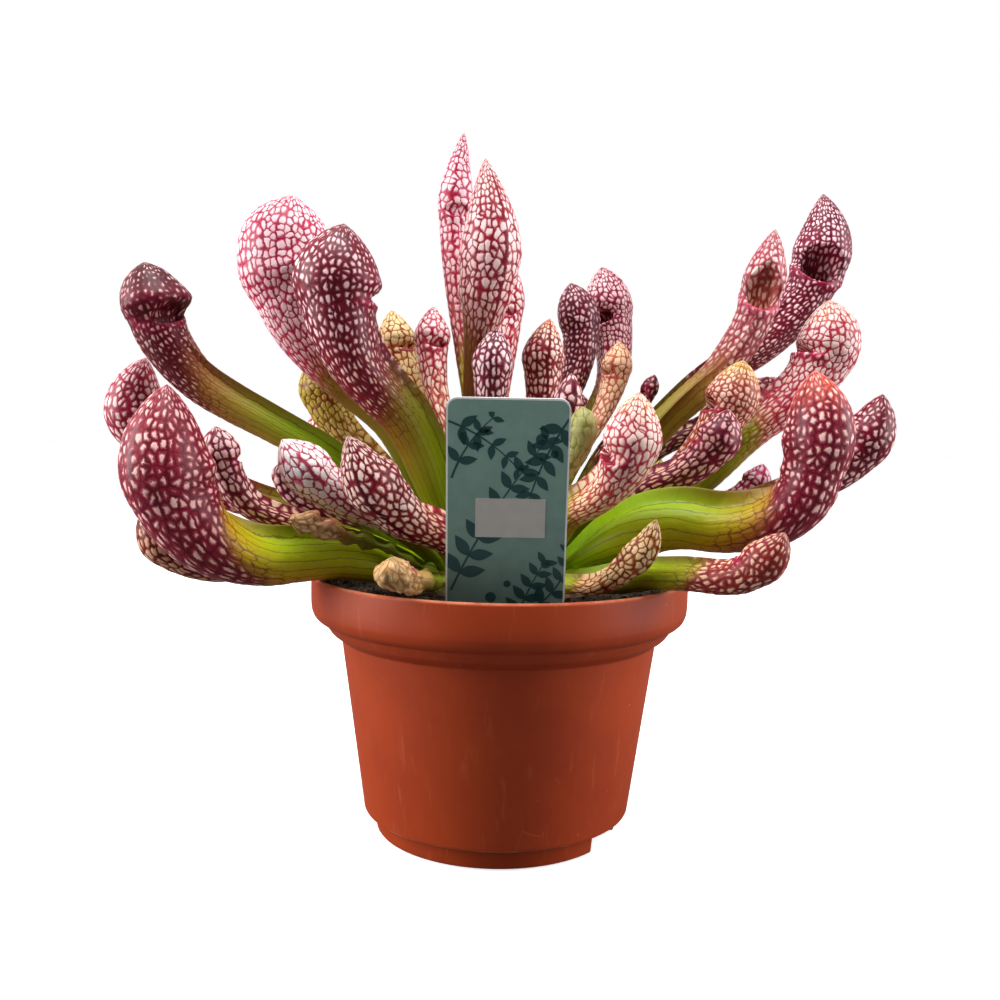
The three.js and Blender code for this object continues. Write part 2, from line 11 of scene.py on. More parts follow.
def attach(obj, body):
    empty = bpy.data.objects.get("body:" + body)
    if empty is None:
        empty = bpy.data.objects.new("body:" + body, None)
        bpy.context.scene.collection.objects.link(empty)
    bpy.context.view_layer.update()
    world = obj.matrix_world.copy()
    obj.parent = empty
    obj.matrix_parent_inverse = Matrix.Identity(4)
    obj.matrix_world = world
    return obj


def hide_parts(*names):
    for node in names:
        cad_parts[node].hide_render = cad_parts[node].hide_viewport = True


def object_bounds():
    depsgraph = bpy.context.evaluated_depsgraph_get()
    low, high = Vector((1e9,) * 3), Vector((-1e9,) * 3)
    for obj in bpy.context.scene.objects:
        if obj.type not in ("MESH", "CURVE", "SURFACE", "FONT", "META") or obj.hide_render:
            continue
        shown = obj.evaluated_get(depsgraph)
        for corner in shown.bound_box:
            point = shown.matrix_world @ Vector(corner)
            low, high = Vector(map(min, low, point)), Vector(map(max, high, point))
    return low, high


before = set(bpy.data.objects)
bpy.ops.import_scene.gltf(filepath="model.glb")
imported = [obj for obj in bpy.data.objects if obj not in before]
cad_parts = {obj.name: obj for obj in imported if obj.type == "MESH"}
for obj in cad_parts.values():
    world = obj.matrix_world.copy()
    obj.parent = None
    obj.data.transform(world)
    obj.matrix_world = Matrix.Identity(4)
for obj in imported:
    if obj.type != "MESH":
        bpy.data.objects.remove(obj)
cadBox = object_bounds()
mm = 0.001
turnAll = 2 * math.pi


def srgb(code):  # "#rrggbb", as picked from a screen, to the renderer's linear colour
    parts = [int(code[k : k + 2], 16) / 255 for k in (1, 3, 5)]
    return tuple(c / 12.92 if c <= 0.04045 else ((c + 0.055) / 1.055) ** 2.4 for c in parts) + (1.0,)


def smooth(x):
    x = np.clip(x, 0, 1)
    return x * x * (3 - 2 * x)


# ---- node helpers, used by materials and by geometry trees
class Field:  # one output of a node, to calculate with
    def __init__(self, tree, node, output=0):
        self.tree, self.node, self.output = tree, node, output

    def other(self, output):
        return Field(self.tree, self.node, output)

    def calc(self, operation, *others):
        return field(self.tree, "ShaderNodeMath", 0, dict(enumerate((self, *others))), operation=operation)

    def __add__(self, other):
        return self.calc("ADD", other)

    def __sub__(self, other):
        return self.calc("SUBTRACT", other)

    def __rsub__(self, other):
        return field(self.tree, "ShaderNodeMath", 0, {0: other, 1: self}, operation="SUBTRACT")

    def __mul__(self, other):
        return self.calc("MULTIPLY", other)

    def vector(self, operation, other):
        return field(self.tree, "ShaderNodeVectorMath", 0, {0: self, 1: other}, operation=operation)

    def scaled(self, amount):
        return field(self.tree, "ShaderNodeVectorMath", 0, {0: self, "Scale": amount}, operation="SCALE")

    def part(self, axis):
        return field(self.tree, "ShaderNodeSeparateXYZ", axis, {"Vector": self})

    def step(self, low, high, first=0.0, last=1.0):  # smooth step from first to last
        values = {"Value": self, "From Min": low, "From Max": high, "To Min": first, "To Max": last}
        return field(self.tree, "ShaderNodeMapRange", "Result", values, interpolation_type="SMOOTHSTEP")

    def noise(self, scale, detail=3.0, roughness=0.55, output="Fac"):
        values = {"Vector": self, "Scale": scale, "Detail": detail, "Roughness": roughness}
        return field(self.tree, "ShaderNodeTexNoise", output, values)

    def cells(self, feature, scale, spread=1.0, sides="3D"):
        values = {"Vector": self, "Scale": scale, "Randomness": spread}
        settings = {"voronoi_dimensions": sides, "feature": feature}
        return field(self.tree, "ShaderNodeTexVoronoi", "Distance", values, **settings)


def setSocket(tree, socket, value):
    if isinstance(value, Field):
        tree.links.new(value.node.outputs[value.output], socket)
    else:
        socket.default_value = value


def field(tree, kind, output, values=None, **settings):
    node = tree.nodes.new(kind)
    for key, value in settings.items():
        setattr(node, key, value)
    for key, value in (values or {}).items():
        setSocket(tree, node.inputs[key], value)
    return Field(tree, node, output)


def blend(tree, share, first, second, way="MIX"):
    values = {0: share, 6: first, 7: second}
    return field(tree, "ShaderNodeMix", 2, values, data_type="RGBA", blend_type=way)


def newMaterial(name):
    material = bpy.data.materials.new(name)
    material.use_nodes = True
    tree = material.node_tree
    return material, tree, field(tree, "ShaderNodeTexCoord", "Object")


def setShader(tree, color, roughness, bump=None, **more):  # bump: height, depth in metres and strength
    shader = tree.nodes["Principled BSDF"]
    for name, value in {"Base Color": color, "Roughness": roughness, **more}.items():
        setSocket(tree, shader.inputs[name], value)
    if bump:
        values = dict(zip(("Height", "Distance", "Strength"), bump))
        setSocket(tree, shader.inputs["Normal"], field(tree, "ShaderNodeBump", "Normal", values))


def settle(piece):  # turns what the modifiers make of a piece into its plain mesh
    graph = bpy.context.evaluated_depsgraph_get()
    shown = piece.evaluated_get(graph)
    made = bpy.data.meshes.new_from_object(shown, preserve_all_data_layers=True, depsgraph=graph)
    old = piece.data
    piece.modifiers.clear()
    piece.data = made
    bpy.data.meshes.remove(old)
    made.name = piece.name


def runTree(piece, tree, **settings):
    modifier = piece.modifiers.new(tree.name, "NODES")
    modifier.node_group = tree
    for item in tree.interface.items_tree:
        if item.in_out == "INPUT" and item.name in settings:
            modifier[item.identifier] = settings[item.name]
    settle(piece)


def newTree(name, **inputs):  # each input by its default: a whole number for a seed
    tree = bpy.data.node_groups.new(name, "GeometryNodeTree")
    tree.interface.new_socket("Geometry", in_out="INPUT", socket_type="NodeSocketGeometry")
    for label, value in inputs.items():
        kind = "NodeSocketInt" if isinstance(value, int) else "NodeSocketFloat"
        tree.interface.new_socket(label, in_out="INPUT", socket_type=kind).default_value = value
    tree.interface.new_socket("Geometry", in_out="OUTPUT", socket_type="NodeSocketGeometry")
    source = field(tree, "NodeGroupInput", 0)
    return tree, {label: source.other(label) for label in ("Geometry", *inputs)}


def closeTree(tree, geometry, material):
    solid = field(tree, "GeometryNodeRealizeInstances", "Geometry", {"Geometry": geometry})
    painted = field(tree, "GeometryNodeSetMaterial", "Geometry", {"Geometry": solid, "Material": material})
    setSocket(tree, field(tree, "NodeGroupOutput", 0).node.inputs["Geometry"], painted)


def newPiece(name, mesh):
    piece = bpy.data.objects.new(name, mesh)
    mesh.name = name
    bpy.context.scene.collection.objects.link(piece)
    return piece


def standFor(piece, slot, *nodes):
    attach(piece, "root")
    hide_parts(*nodes)


# ---- view, light and floor
studio = {
    "cameraAt": (-0.36, -330, 128.5),
    "cameraPitch": 86,  # degrees from straight down
    "cameraRoll": 1.05,
    "lens": 37.0,
    "softboxes": {  # place, aim and size in metres, power in watts
        "softboxLeft": ((-0.78, -0.16, 0.30), (0, 0, 0.12), (0.45, 0.8), 12.0),
        "softboxRight": ((0.78, -0.10, 0.32), (0, 0, 0.12), (0.45, 0.8), 9.2),
        "softboxTop": ((-0.05, -0.12, 0.88), (0, 0, 0.13), (0.7, 0.5), 8.0),
    },
    "skyFront": 0.05,  # the room is darker behind the camera than behind the plant
    "skyBack": 0.75,
    "skyTurn": 0.55,  # how gradually the one passes into the other
    "floorReach": 6000,
    "floorDrop": 0.2,
    "floorColor": srgb("#f0f0ef"),
    "floorRoughness": 0.8,
    "floorGlow": 0.62,
    "floorBounce": srgb("#62605e"),  # what the floor throws back on the plant
}


def makeCamera():
    data = bpy.data.cameras.new("photoCamera")
    data.lens = studio["lens"]
    data.sensor_width = 36
    data.clip_start = 0.01
    camera = newPiece("photoCamera", data)
    pitch = Matrix.Rotation(math.radians(studio["cameraPitch"]), 4, "X")
    roll = Matrix.Rotation(math.radians(studio["cameraRoll"]), 4, "Z")
    camera.matrix_world = Matrix.Translation(Vector(studio["cameraAt"]) * mm) @ pitch @ roll
    bpy.context.scene.camera = camera


def makeLights():
    for name, (place, aim, size, power) in studio["softboxes"].items():
        data = bpy.data.lights.new(name, "AREA")
        data.shape = "RECTANGLE"
        data.size, data.size_y = size
        data.energy = power
        light = newPiece(name, data)
        light.location = place
        light.rotation_euler = (Vector(aim) - Vector(place)).to_track_quat("-Z", "Y").to_euler()


def makeRoom():
    world = bpy.data.worlds.new("paleRoom")
    world.use_nodes = True
    tree = world.node_tree
    toward = field(tree, "ShaderNodeTexCoord", "Generated").part("Y")
    share = toward.step(-studio["skyTurn"], studio["skyTurn"], studio["skyFront"], studio["skyBack"])
    seen = field(tree, "ShaderNodeLightPath", "Is Camera Ray")  # the backdrop itself is plain white
    setSocket(tree, tree.nodes["Background"].inputs["Strength"], share.calc("MAXIMUM", seen))
    tree.nodes["Background"].inputs["Color"].default_value = (1, 1, 1, 1)
    bpy.context.scene.world = world
    bpy.context.scene.view_settings.view_transform = "Standard"


def makeFloor():
    mesh = bpy.data.meshes.new("floor")
    reach, low = studio["floorReach"] * mm, -studio["floorDrop"] * mm
    corners = [(-reach, -reach, low), (reach, -reach, low), (reach, reach, low), (-reach, reach, low)]
    mesh.from_pydata(corners, [], [(0, 1, 2, 3)])
    floor = newPiece("floor", mesh)
    paint, tree, place = newMaterial("paleFloor")
    tree.nodes.remove(place.node)
    glow = {"Emission Color": (1, 1, 1, 1), "Emission Strength": studio["floorGlow"]}
    setShader(tree, studio["floorColor"], studio["floorRoughness"], **glow)
    dim = field(tree, "ShaderNodeBsdfDiffuse", 0, {"Color": studio["floorBounce"]})
    seen = field(tree, "ShaderNodeLightPath", "Is Camera Ray")
    shader = Field(tree, tree.nodes["Principled BSDF"])
    shown = field(tree, "ShaderNodeMixShader", 0, {0: seen, 1: dim, 2: shader})
    setSocket(tree, tree.nodes["Material Output"].inputs["Surface"], shown)
    mesh.materials.append(paint)


makeCamera()
makeLights()
makeRoom()
makeFloor()
print("studio: camera, softboxes and a pale floor")


# ---- pitcher leaves, which are kept clear of the pot, the crown and the label, so these sizes stand first
pot = {
    "rimRadius": 60, "height": 82, "wall": 1.4, "rimBandBottom": 71.4, "stepRadius": 55.8, "stepTop": 67.4,
    "stepBottom": 62.4, "shoulderRadius": 50.4, "baseRadius": 42.7, "footTop": 6.6, "footRadius": 38.6,
    "footWidth": 3.4, "floorBottom": 5.2, "floorThickness": 1.6, "footGaps": 2, "footGapWidth": 20,
    "footGapHeight": 5.4, "footGapTurn": -26, "holes": 4, "holeRadius": 4, "holeCircle": 22, "sides": 176,
    "color": srgb("#a63c14"), "deepColor": srgb("#96320f"), "dustColor": srgb("#e2c4b0"),
    # the last colour is for the scuffs and for the painted highlight on the rim's and foot's edges
    "streakColor": srgb("#ce704e"), "scuffAndHighlightColor": srgb("#de8a64"),
    "roughness": 0.44, "gloss": 0.28, "bump": 0.06,
}
soil = {"top": 77.5, "crownRadius": 29, "crownDepth": 14}
crown = {"top": 79.4, "edge": 78.2, "socketDepth": 3.2, "stub": 5.5}
label = {
    "width": 33, "thickness": 0.8, "top": 138, "corner": 3, "bladeBottom": 72, "tip": 40, "centreX": 1.5,
    "footY": -46.9, "lean": 12.2,
}
leaf = {
    "rootRadius": 2.2, "rootSpacing": 6.5, "samples": 15, "clearance": 0.7, "gap": 0.3,
    "linePoints": 90, "columns": 104, "rowStep": 0.85, "smallColumns": 64, "smallRowStep": 1.0,
}
rim, stepOut, shoulder = pot["rimRadius"], pot["stepRadius"], pot["shoulderRadius"]
base, foot, wall = pot["baseRadius"], pot["footRadius"], pot["wall"]
potTop, band, stepTop, stepBottom = pot["height"], pot["rimBandBottom"], pot["stepTop"], pot["stepBottom"]
floorTop = pot["floorBottom"] + pot["floorThickness"]
socketBottom = crown["top"] - crown["socketDepth"] + leaf["gap"]
skin = {
    "cellWidth": 2.35, "cellHeight": 2.8, "cellsPerVein": 2, "cellSpread": 0.84, "mainVein": 0.09,
    "quiltDepth": 0.16, "crumple": 1.7, "roughness": 0.35, "gloss": 0.22, "bump": 0.22,
    "tubeVein": srgb("#743a18"), "tubeShade": (0.25, 0.3, 0.02, 1),
}
# The opening under the hood: half its width in degrees round the leaf, how much of the gape it takes up,
# how far it narrows towards the hood, how deep it is and how much less at the top, how far lip and brow
# stand out, how far the lip sags in the middle and the whole opening sits up the hood, in mm, and how far
# round the leaf it is turned, in degrees. A small leaf has a plainer one.
mouthShape = dict(
    spread=50, height=0.8, point=0.45, depth=0.8, slope=0.6, lipRoll=0.07, browRoll=0.06, dip=2.6, rise=0,
    turn=0)
smallMouth = dict(
    spread=46, height=0.5, point=0.5, depth=0.3, slope=0.5, lipRoll=0.05, browRoll=0.07, dip=1.2, rise=0,
    turn=0)
# What a leaf looks like unless its tone or the leaf itself says otherwise. lowWindow and lowGround are for
# the net's lower end, and lowRise is how far that reaches above the lip, in mm. cells is the size of the
# net's cells, fading how much smaller the windows get on the tube, backReach how much further down the net
# goes on the back, topFrom where the tube takes on tubeTop, and faceShade how dark the hood's front is.
# shade is the colour of the painted shade that the veins take on towards the leaf's flanks.
plainLook = dict(
    lip="#9e1a42", inside="#8c2232", insideWindow="#e0a09c", shade="#300812", lowWindow="#e8b88e",
    wing="#703e20", root="#c4be80", lowRise=0, cells=1.0, fading=0.3, backReach=0.08, topFrom=0.3,
    midrib=0.8, faceShade=0)
# vein, ground and window make the net; open is how much of a cell its window takes up (0 to 1); tube is the
# lower leaf, tubeTop just under the net, flush the tube's outer side; netFrom and netFull are shares of the
# tube's length.
tones = {
    "maroon": dict(vein="#420612", ground="#86162e", window="#f8cac6", tube="#8cb204", tubeTop="#96761e",
        flush="#8c461c", open=0.34, netFrom=0.5, netFull=0.85),
    "dark": dict(vein="#2e020c", ground="#64081a", window="#ecb6b0", tube="#7c960a", tubeTop="#783c1c",
        flush="#662618", open=0.4, netFrom=0.35, netFull=0.7),
    "purple": dict(vein="#420218", ground="#7e142c", window="#f8cecc", tube="#7e9c0a", tubeTop="#844222",
        flush="#7a2e20", open=0.5, netFrom=0.35, netFull=0.7),
    "pink": dict(vein="#820a24", ground="#bc2c44", window="#fcdedc", tube="#88aa08", tubeTop="#a8682e",
        flush="#924e22", open=0.6, netFrom=0.4, netFull=0.74),
    "rose": dict(vein="#9a0a34", ground="#cc4260", window="#fce2e6", tube="#88a40a", tubeTop="#a87628",
        flush="#966422", open=0.66, netFrom=0.5, netFull=0.84),
    "pale": dict(vein="#96122c", ground="#d0465c", window="#fff2ec", tube="#8caa08", tubeTop="#92961a",
        flush="#907420", open=0.7, netFrom=0.55, netFull=0.85),
    "cream": dict(vein="#7a2216", ground="#c87e3e", window="#fce4aa", tube="#9cb616", tubeTop="#ba9c32",
        flush="#a47c2c", open=0.7, netFrom=0.35, netFull=0.68),
    "olive": dict(vein="#6a2a0c", ground="#a0741e", window="#ceb852", tube="#8caa0c", tubeTop="#9c9220",
        flush="#90741c", open=0.7, netFrom=0.35, netFull=0.66),
    "dry": dict(vein="#8c5c30", ground="#c49c68", window="#d6b484", tube="#68800e", tubeTop="#be965c",
        flush="#786028", open=0.3, netFrom=0.86, netFull=1.0, topFrom=0.72),
}
pitchers = {
    "left_01": dict(tone="maroon", faces=242, tube=16, hood=26, hoodLength=36, gape=0.3,
        path=[(-48, -23, 91), (-70, -34, 91), (-83, -40, 96), (-91, -43, 106), (-94, -44, 119),
            (-93, -44, 139)],
        look=dict(open=0.24, window="#f6c4c0", tubeTop="#ceaa1c", flush="#c8702c", cells=1.15,
            tube="#b8da08", netFrom=0.64, netFull=0.98, backReach=0.3, midrib=0.3, ground="#902036",
            vein="#4c0816", topFrom=0.62)),
    "left_02": dict(tone="pink", faces=182, tube=11, hood=19, hoodLength=26, gape=0.35,
        path=[(-39, -1, 93), (-86, -2, 105), (-108, -3, 117), (-120, -3, 131), (-116, -3, 149)],
        look=dict(open=0.4, vein="#740826", ground="#aa2642")),
    "left_03": dict(tone="maroon", faces=164, twist=-18, tube=11.5, hood=19.5, hoodLength=19, gape=0.35,
        neck=0.84, taper=2.4,
        path=[(-54, -7, 116), (-75, -9, 129), (-96, -11, 142), (-107, -12, 155), (-110, -13, 167),
            (-112, -13, 177)],
        mouth=dict(spread=74, height=1.0, lipRoll=0.05, browRoll=0.22, depth=0.34, slope=0.3, dip=4),
        look=dict(open=0.24, cells=0.78, ground="#681422", tubeTop="#b06846", flush="#a05438", netFrom=0.62,
            netFull=0.95, backReach=0.16, faceShade=0.85, topFrom=0.5, inside="#460418",
            insideWindow="#6e283c", window="#eab2b0")),
    "left_04": dict(tone="purple", faces=197, tube=7.5, hood=11.5, hoodLength=12, gape=0.35, taper=2.4,
        small=True,
        path=[(-60, -19, 96), (-76, -23, 103), (-83, -25, 115), (-85, -26, 126)]),
    "left_05": dict(tone="rose", faces=166, tube=14, hood=33, hoodLength=37, gape=0.3, neck=0.78, taper=3.2,
        flare=2.3,
        path=[(-34, 9, 127), (-54, 14, 146), (-67, 17, 162), (-73, 18, 184), (-71, 18, 204)],
        look=dict(open=0.61, window="#fae2e8", vein="#920e32", ground="#c8365a", netFrom=0.62, netFull=0.92,
            tubeTop="#a87a28", midrib=0.5, lowWindow="#de8e86", cells=1.05)),
    "left_06": dict(tone="maroon", faces=200, tube=15.5, hood=26.5, hoodLength=26, gape=0.28, taper=2,
        path=[(-29, -9, 129), (-44, -13, 147), (-50, -15, 161), (-51, -15, 173), (-49, -15, 189)],
        look=dict(open=0.26, ground="#7e142a", window="#fed6dc", tubeTop="#845c1e", netFrom=0.45,
            netFull=0.86, cells=0.92, midrib=0.4)),
    "left_07": dict(tone="olive", faces=155, tube=10, hood=17, hoodLength=18, gape=0.35,
        path=[(-41, 19, 112), (-56, 26, 127), (-63, 29, 139), (-65, 30, 153)],
        look=dict(window="#c4b246", ground="#a27622")),
    "left_08": dict(tone="purple", faces=190, tube=4.5, hood=6.5, hoodLength=8, gape=0.35, small=True,
        path=[(-57, -5, 100), (-67, -6, 105), (-70, -6, 110), (-70, -6, 116)]),
    "left_09": dict(tone="pink", faces=240, twist=60, tube=8.5, hood=15, hoodLength=17, gape=0.4,
        path=[(-38, -27, 97), (-50, -34, 105), (-58, -39, 113), (-64, -42, 121)],
        look=dict(open=0.76, window="#fffafa", ground="#e8748c", fading=0.1, lowWindow="#fad6c8")),
    "left_10": dict(tone="purple", faces=229, twist=30, tube=13, hood=16.5, hoodLength=24, gape=0.4,
        taper=1.4,
        path=[(-20, -21, 95), (-32, -34, 103), (-40, -43, 113), (-45, -48, 125)],
        look=dict(open=0.46, window="#ffe2d6", ground="#92222e", netFrom=0.3, netFull=0.6)),
    "left_11": dict(tone="dark", faces=205, tube=8, hood=14.5, hoodLength=19, gape=0.3,
        path=[(-53, -8, 91), (-73, -11, 86), (-91, -14, 86), (-103, -17, 93), (-106, -17, 106)],
        look=dict(window="#dea88a", ground="#782214", vein="#480808", open=0.48)),
    "centre_01": dict(tone="cream", faces=135, tube=8, hood=14, hoodLength=17, gape=0.4, taper=1.6,
        small=True,
        path=[(-23, 23, 127), (-32, 32, 143), (-37, 37, 155), (-40, 40, 170)],
        look=dict(window="#f8e4a4")),
    "centre_02": dict(tone="pink", faces=115, tube=6.5, hood=12.5, hoodLength=16, gape=0.4, taper=1.4,
        small=True,
        path=[(-16, 15, 128), (-21, 22, 141), (-23, 26, 155), (-23, 30, 170)],
        look=dict(open=0.56, ground="#c83854", lowWindow="#f4debe", lowGround="#ce745c", lowRise=6)),
    "centre_03": dict(tone="pink", faces=110, tube=7.5, hood=12.6, hoodLength=34, gape=0.3, taper=1.3,
        path=[(-9, 15, 131), (-14, 28, 162), (-17, 36, 187), (-18, 40, 209), (-15, 38, 232)],
        mouth=dict(spread=66, height=0.5, depth=0.22, slope=0.3, rise=4, lipRoll=0.12),
        look=dict(open=0.6, vein="#921230", ground="#c83c5a", inside="#860c30", insideWindow="#aa3254",
            window="#fadae2", tip="#ba3454", lowWindow="#e2b0a0", lowGround="#a8484c")),
    "centre_04": dict(tone="pink", faces=300, tube=7, hood=19, hoodLength=42, gape=0.25, taper=1.4, flare=4,
        path=[(-13.5, -5, 130), (-12, -8, 146), (-8.5, -12, 164), (-6, -14, 184), (-8, -12, 210)],
        look=dict(open=0.6, vein="#70081c", ground="#a8263a", netFrom=0.72, netFull=1.06, tubeTop="#7e5a1a",
            midrib=1.0, topFrom=0.2, tube="#707810", lowWindow="#a06234", lowRise=13, lowGround="#702812",
            tip="#b04a3c", window="#fad8d8")),
    "centre_05": dict(tone="pink", faces=80, tube=5.5, hood=10, hoodLength=20, gape=0.3, small=True,
        path=[(-5, 15, 128), (-2, 22, 158), (-1, 26, 170), (-1, 28, 185)]),
    "centre_06": dict(tone="purple", faces=265, tube=6, hood=12.7, hoodLength=16, gape=0.35, taper=1.6,
        small=True,
        path=[(-2, -10, 118), (-3, -15, 134), (-3, -18, 146), (-2, -16, 159)],
        look=dict(cells=0.86, window="#f6d8dc")),
    "centre_07": dict(tone="pink", faces=280, tube=7, hood=13.5, hoodLength=18, gape=0.35, taper=1.5,
        small=True,
        path=[(7, -6, 122), (12, -8, 139), (12, -8, 150), (14, -6, 163)],
        look=dict(tip="#dc7832", window="#fcd6c8", open=0.44, ground="#921a2c", vein="#540612", cells=0.8)),
    "centre_08": dict(tone="purple", faces=290, tube=4.5, hood=8, hoodLength=12, gape=0.35, small=True,
        path=[(9, -14, 113), (17, -22, 128), (20, -26, 136), (21, -26, 145)]),
    "centre_09": dict(tone="dark", faces=245, tube=8, hood=15, hoodLength=20, gape=0.35, taper=2.4,
        path=[(21, 25, 128), (28, 36, 142), (31, 42, 161), (27, 44, 180)],
        look=dict(open=0.32, ground="#6c0e28", window="#f0c0c6", cells=0.86)),
    "centre_10": dict(tone="maroon", faces=50, tube=8.5, hood=18, hoodLength=22, gape=0.4, taper=2.2,
        path=[(31, 30, 132), (39, 42, 150), (39, 50, 169), (35, 50, 189)],
        look=dict(open=0.6, cells=0.82, ground="#a01844", vein="#600422", window="#fcd4d6")),
    "centre_11": dict(tone="cream", faces=40, tube=5.5, hood=10.5, hoodLength=13, gape=0.4, small=True,
        path=[(30, 20, 122), (37, 28, 135), (41, 32, 146), (42, 32, 158)],
        look=dict(window="#f0cea8", ground="#c87c58", vein="#a83e2e", lip="#d65c60", tip="#d0884c",
            lowWindow="#fad6c4")),
    "centre_12": dict(tone="dark", faces=30, tube=4, hood=6, hoodLength=8, gape=0.35, small=True,
        path=[(33, 19, 122), (46, 26, 136), (50, 29, 143), (52, 30, 149)]),
    "centre_13": dict(tone="olive", faces=300, tube=5, hood=8.5, hoodLength=10, gape=0.35, taper=2.6,
        small=True,
        path=[(13, -16, 107), (20, -26, 117), (24, -32, 126), (24, -32, 135)],
        look=dict(open=0.9, ground="#84824a", window="#a2a064", vein="#767a1a", midrib=0.2, tube="#78941e")),
    "right_01": dict(tone="pink", faces=345, tube=11.5, hood=16.5, hoodLength=20, gape=0.3,
        path=[(21, -21, 102), (30, -30, 110), (37, -37, 120), (38, -38, 129), (39, -39, 139)],
        mouth=dict(turn=-40, depth=0.3, height=0.5, lipRoll=0.16, dip=4),
        look=dict(ground="#dc6068", window="#ffece0", vein="#9e1836", open=0.62, tip="#e49e3c", cells=0.88,
            netFrom=0.42, netFull=0.76, fading=0.1, midrib=0.5, tube="#a8b424", tubeTop="#c4a848",
            lowWindow="#f0d08c", lowGround="#c47048")),
    "right_02": dict(tone="rose", faces=84, tube=12.5, hood=15, hoodLength=26, gape=0.6, taper=1.5,
        path=[(61, 19, 133), (76, 24, 147), (87, 27, 164), (91, 28, 179), (94, 28, 196)],
        mouth=dict(spread=88, height=1.0, point=0.7, depth=0.66, slope=0.75, lipRoll=0.12, browRoll=0, dip=6),
        look=dict(ground="#ac545a", window="#eed0ce", vein="#861c2c", open=0.42, tubeTop="#a0702e",
            tube="#84960c", netFrom=0.56, netFull=0.9, inside="#b86038", insideWindow="#f6c896",
            lip="#d05070", lowWindow="#ba885c", lowGround="#964c3a")),
    "right_03": dict(tone="dark", faces=55, tube=12.5, hood=21.5, hoodLength=32, gape=0.4, taper=1.6,
        path=[(69, 32, 140), (100, 45, 163), (115, 48, 180), (120, 49, 198), (119, 49, 216)],
        mouth=dict(turn=-26, spread=66, height=1.0, point=0.3, depth=0.66, slope=0.6, lipRoll=0.14,
            browRoll=0, dip=5),
        look=dict(open=0.33, ground="#740e2a", vein="#460216", window="#fed6de", cells=0.82,
            inside="#68000e", insideWindow="#70081c")),
    "right_04": dict(tone="pale", faces=14, tube=13, hood=22, hoodLength=24, gape=0.35, taper=2.3,
        path=[(65, 17, 112), (84, 22, 131), (100, 26, 143), (111, 28, 157), (111, 28, 175)],
        mouth=dict(spread=46, height=0.6, depth=0.4, lipRoll=0.14, browRoll=0.02, dip=4),
        look=dict(tip="#e89856", lip="#c8225c", inside="#961836", midrib=0.3, window="#fae4de", open=0.62,
            ground="#c43e56")),
    "right_05": dict(tone="olive", faces=7, tube=9, hood=17, hoodLength=20, gape=0.35, taper=2.2,
        path=[(59, 7, 114), (69, 8, 127), (75, 9, 139), (78, 9, 152)],
        look=dict(window="#f6d4ba", ground="#b45442", vein="#822024", tip="#d4ae2e", tubeTop="#a4702a",
            cells=0.82, open=0.46)),
    "right_06": dict(tone="dark", faces=343, tube=8.5, hood=14, hoodLength=15, gape=0.35, small=True,
        path=[(46, -6, 110), (59, -8, 116), (68, -9, 125), (71, -9, 135)],
        look=dict(ground="#7a0830", open=0.44)),
    "right_07": dict(tone="maroon", faces=300, tube=19.5, hood=20, hoodLength=30, gape=0.3, taper=2.3,
        path=[(37, -15, 93), (54, -22, 100), (72, -29, 100.5), (86, -35, 107), (91, -37, 124),
            (89, -36, 145)],
        look=dict(open=0.22, ground="#8c2034", tube="#96c002", tubeTop="#c49614", flush="#bc741c",
            netFrom=0.58, netFull=0.96, backReach=0.16, tip="#d8543e", fading=0.5, midrib=0.2,
            vein="#50041e", topFrom=0.5, window="#facec6", lowWindow="#b26e58")),
    "right_08": dict(tone="maroon", faces=3, tube=10, hood=16.5, hoodLength=23, gape=0.35,
        path=[(64, 2, 100), (93, 3, 110), (110, 4, 119), (118, 4, 128), (122, 4, 142)],
        look=dict(open=0.32, ground="#7c0e2c")),
    "right_09": dict(tone="pink", faces=5, tube=5, hood=9.5, hoodLength=10, gape=0.35, small=True,
        path=[(64, 8, 103), (79, 11, 108), (85, 12, 113), (87, 12, 119)],
        look=dict(window="#fff0f6", vein="#9c063e", ground="#d23678")),
    "right_10": dict(tone="olive", faces=300, tube=10, hood=12, hoodLength=16, gape=0.25,
        path=[(30, -21, 84), (52, -36, 87), (66, -46, 88), (72, -50, 93), (76, -54, 101)],
        look=dict(window="#eec4a8", vein="#6a0e1c", ground="#94322c", netFrom=0.6, netFull=0.88,
            tube="#a6c40a", tubeTop="#a8a018", open=0.36, topFrom=0.5, cells=0.85)),
    "right_11": dict(tone="cream", faces=312, tube=6, hood=9, hoodLength=18, gape=0.25, taper=1.7,
        small=True,
        path=[(26, -27, 83), (32, -33, 84), (38, -38, 89), (43, -42, 96), (45, -45, 104)],
        look=dict(window="#fcdea6", netFrom=0.42, netFull=0.7, open=0.62, cells=0.9, vein="#62140c",
            fading=0, ground="#b0642c")),
    "right_12": dict(tone="dark", faces=30, tube=7, hood=12.5, hoodLength=14, gape=0.35, small=True,
        path=[(49, 20, 121), (72, 29, 132), (92, 37, 142), (99, 40, 149)]),
    "dry_01": dict(tone="dry", faces=250, tube=4.5, hood=10, hoodLength=11, gape=0.4, taper=3, small=True,
        path=[(-17, -36, 85), (-25, -50, 86), (-30, -58, 89), (-31, -61, 94)]),
    "dry_02": dict(tone="dry", faces=218, tube=4, hood=7, hoodLength=11, gape=0.4, taper=2.4, small=True,
        path=[(-34, -27, 93), (-46, -36, 98), (-53, -41, 101), (-60, -46, 103)]),
    "rear_01": dict(tone="maroon", faces=62, tube=9, hood=15, hoodLength=19, gape=0.4, small=True,
        path=[(20, 34, 110), (28, 49, 124), (30, 54, 142)]),
    "rear_02": dict(tone="pink", faces=82, tube=10, hood=16, hoodLength=20, gape=0.4,
        path=[(4, 34, 98), (6, 49, 106), (7, 55, 121)]),
    "rear_03": dict(tone="rose", faces=100, tube=8, hood=13, hoodLength=17, gape=0.4, small=True,
        path=[(-7, 34, 112), (-10, 49, 127), (-11, 54, 144)]),
